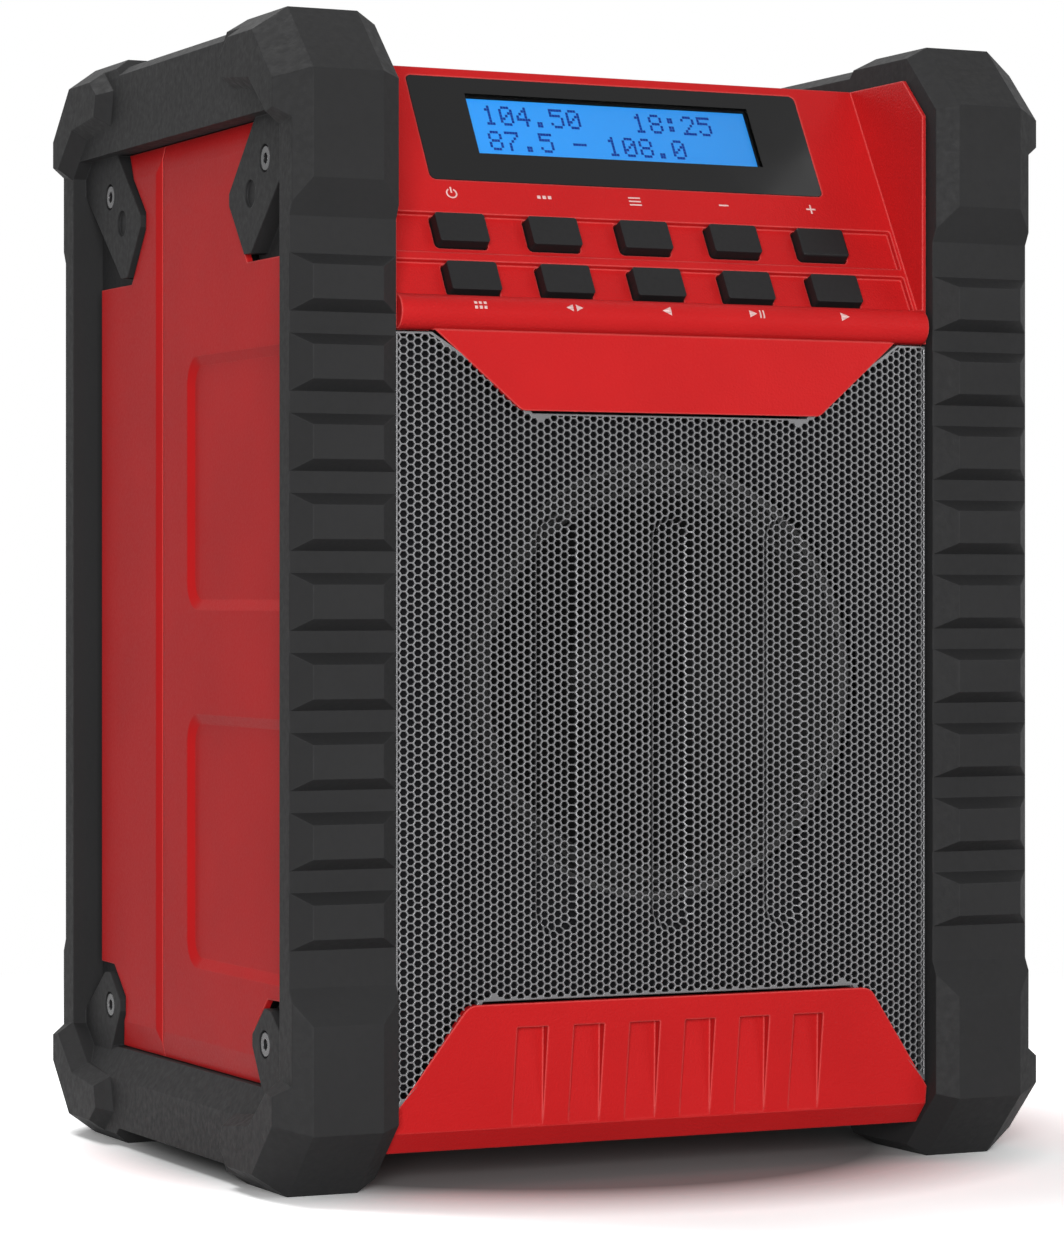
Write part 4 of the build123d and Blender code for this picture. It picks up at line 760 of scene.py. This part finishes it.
# ------------------------------------------------------------ floor and light
SHADOW_FROM, SHADOW_TO, WHITE_FROM = 0.085, 0.13, 0.5
SHADOW_TONE, OPEN_TONE, BOUNCE_TONE = (0.3, 0.3, 0.3), (2.3, 2.3, 2.3), (0.35, 0.35, 0.35)
WORLD_LIGHT = 0.12
CENTRE = (0, 0, 0.13)
bpy.ops.mesh.primitive_plane_add(size=12.0, location=(0, 0, 0))
floor = bpy.context.object
floor.name = "floor"
s = Shader("floor_white")
tree = s.tree
tree.nodes.remove(s.bsdf)
path = s.node("ShaderNodeLightPath")
seen = s.maths("MAXIMUM", path.outputs["Is Camera Ray"],
               s.maths("MAXIMUM", path.outputs["Is Glossy Ray"],
                       path.outputs["Is Transmission Ray"]))
matt = s.node("ShaderNodeBsdfDiffuse")
length = s.node("ShaderNodeVectorMath", operation="LENGTH")
s.link(s.coords, length.inputs[0])
# Stage only. The floor that camera, glossy and transmission rays see is darker under and
# close round the radio and white away from it, so part of the contact shadow is painted.
# Every other ray sees a plain mid grey.
near = s.mix(s.level(length.outputs["Value"], SHADOW_FROM, SHADOW_TO, 0.0, 1.0),
             SHADOW_TONE, OPEN_TONE)
s.link(s.mix(seen, BOUNCE_TONE, near), matt.inputs["Color"])
glow = s.node("ShaderNodeEmission")
far = s.level(length.outputs["Value"], SHADOW_TO, WHITE_FROM, 0.0, 1.0)
blend = s.node("ShaderNodeMixShader")
s.link(s.maths("MULTIPLY", seen, far), blend.inputs[0])
s.link(matt.outputs[0], blend.inputs[1])
s.link(glow.outputs[0], blend.inputs[2])
s.link(blend.outputs[0], tree.nodes["Material Output"].inputs["Surface"])
floor.data.materials.append(s.mat)

world = bpy.data.worlds.new("studio")
world.use_nodes = True
scene.world = world
tree = world.node_tree
background = tree.nodes["Background"]
background.inputs["Color"].default_value = (1, 1, 1, 1)
light_path = tree.nodes.new("ShaderNodeLightPath")
previous = None
for ray in ("Is Camera Ray", "Is Glossy Ray", "Is Transmission Ray"):
    highest = tree.nodes.new("ShaderNodeMath")
    highest.operation = "MAXIMUM"
    highest.inputs[1].default_value = 0.0
    tree.links.new(light_path.outputs[ray], highest.inputs[0])
    if previous is not None:
        tree.links.new(previous.outputs[0], highest.inputs[1])
    previous = highest
strength = tree.nodes.new("ShaderNodeMapRange")
strength.inputs["To Min"].default_value = WORLD_LIGHT
strength.inputs["To Max"].default_value = 1.0
tree.links.new(previous.outputs[0], strength.inputs["Value"])
tree.links.new(strength.outputs["Result"], background.inputs["Strength"])


def area(name, place, target, size, power):
    data = bpy.data.lights.new(name, "AREA")
    data.shape = "RECTANGLE"
    data.size, data.size_y = size
    data.energy = power
    lamp = bpy.data.objects.new(name, data)
    scene.collection.objects.link(lamp)
    lamp.location = place
    lamp.rotation_euler = (Vector(target) - Vector(place)).to_track_quat("-Z", "Y").to_euler()


area("key", (-0.75, -1.55, 0.3), CENTRE, (0.7, 0.6), 31.0)
area("fill", (1.3, -1.2, 0.5), CENTRE, (0.7, 0.9), 6.0)
area("top", (-0.35, 0.6, 1.5), CENTRE, (0.7, 0.5), 12.0)
area("glint", (0.92, -0.55, 1.2), (0.03, -0.045, 0.25), (0.5, 0.5), 0.9)

# ------------------------------------------- camera, fitted to the frames in the photo
PHOTO_HEIGHT = 1240
FOCAL_PIXELS = 4211.0
HORIZON_PIXEL = 597
SENSOR = 36.0
camera_data = bpy.data.cameras.new("camera")
camera = bpy.data.objects.new("camera", camera_data)
scene.collection.objects.link(camera)
scene.camera = camera
camera.location = (-0.45324, -0.95435, 0.1366)
camera.rotation_euler = (math.radians(90), 0, math.radians(-25.39))
camera_data.sensor_width = SENSOR
camera_data.lens = FOCAL_PIXELS * SENSOR / PHOTO_HEIGHT
camera_data.shift_y = (HORIZON_PIXEL - PHOTO_HEIGHT // 2) / PHOTO_HEIGHT
scene.view_settings.view_transform = "Standard"
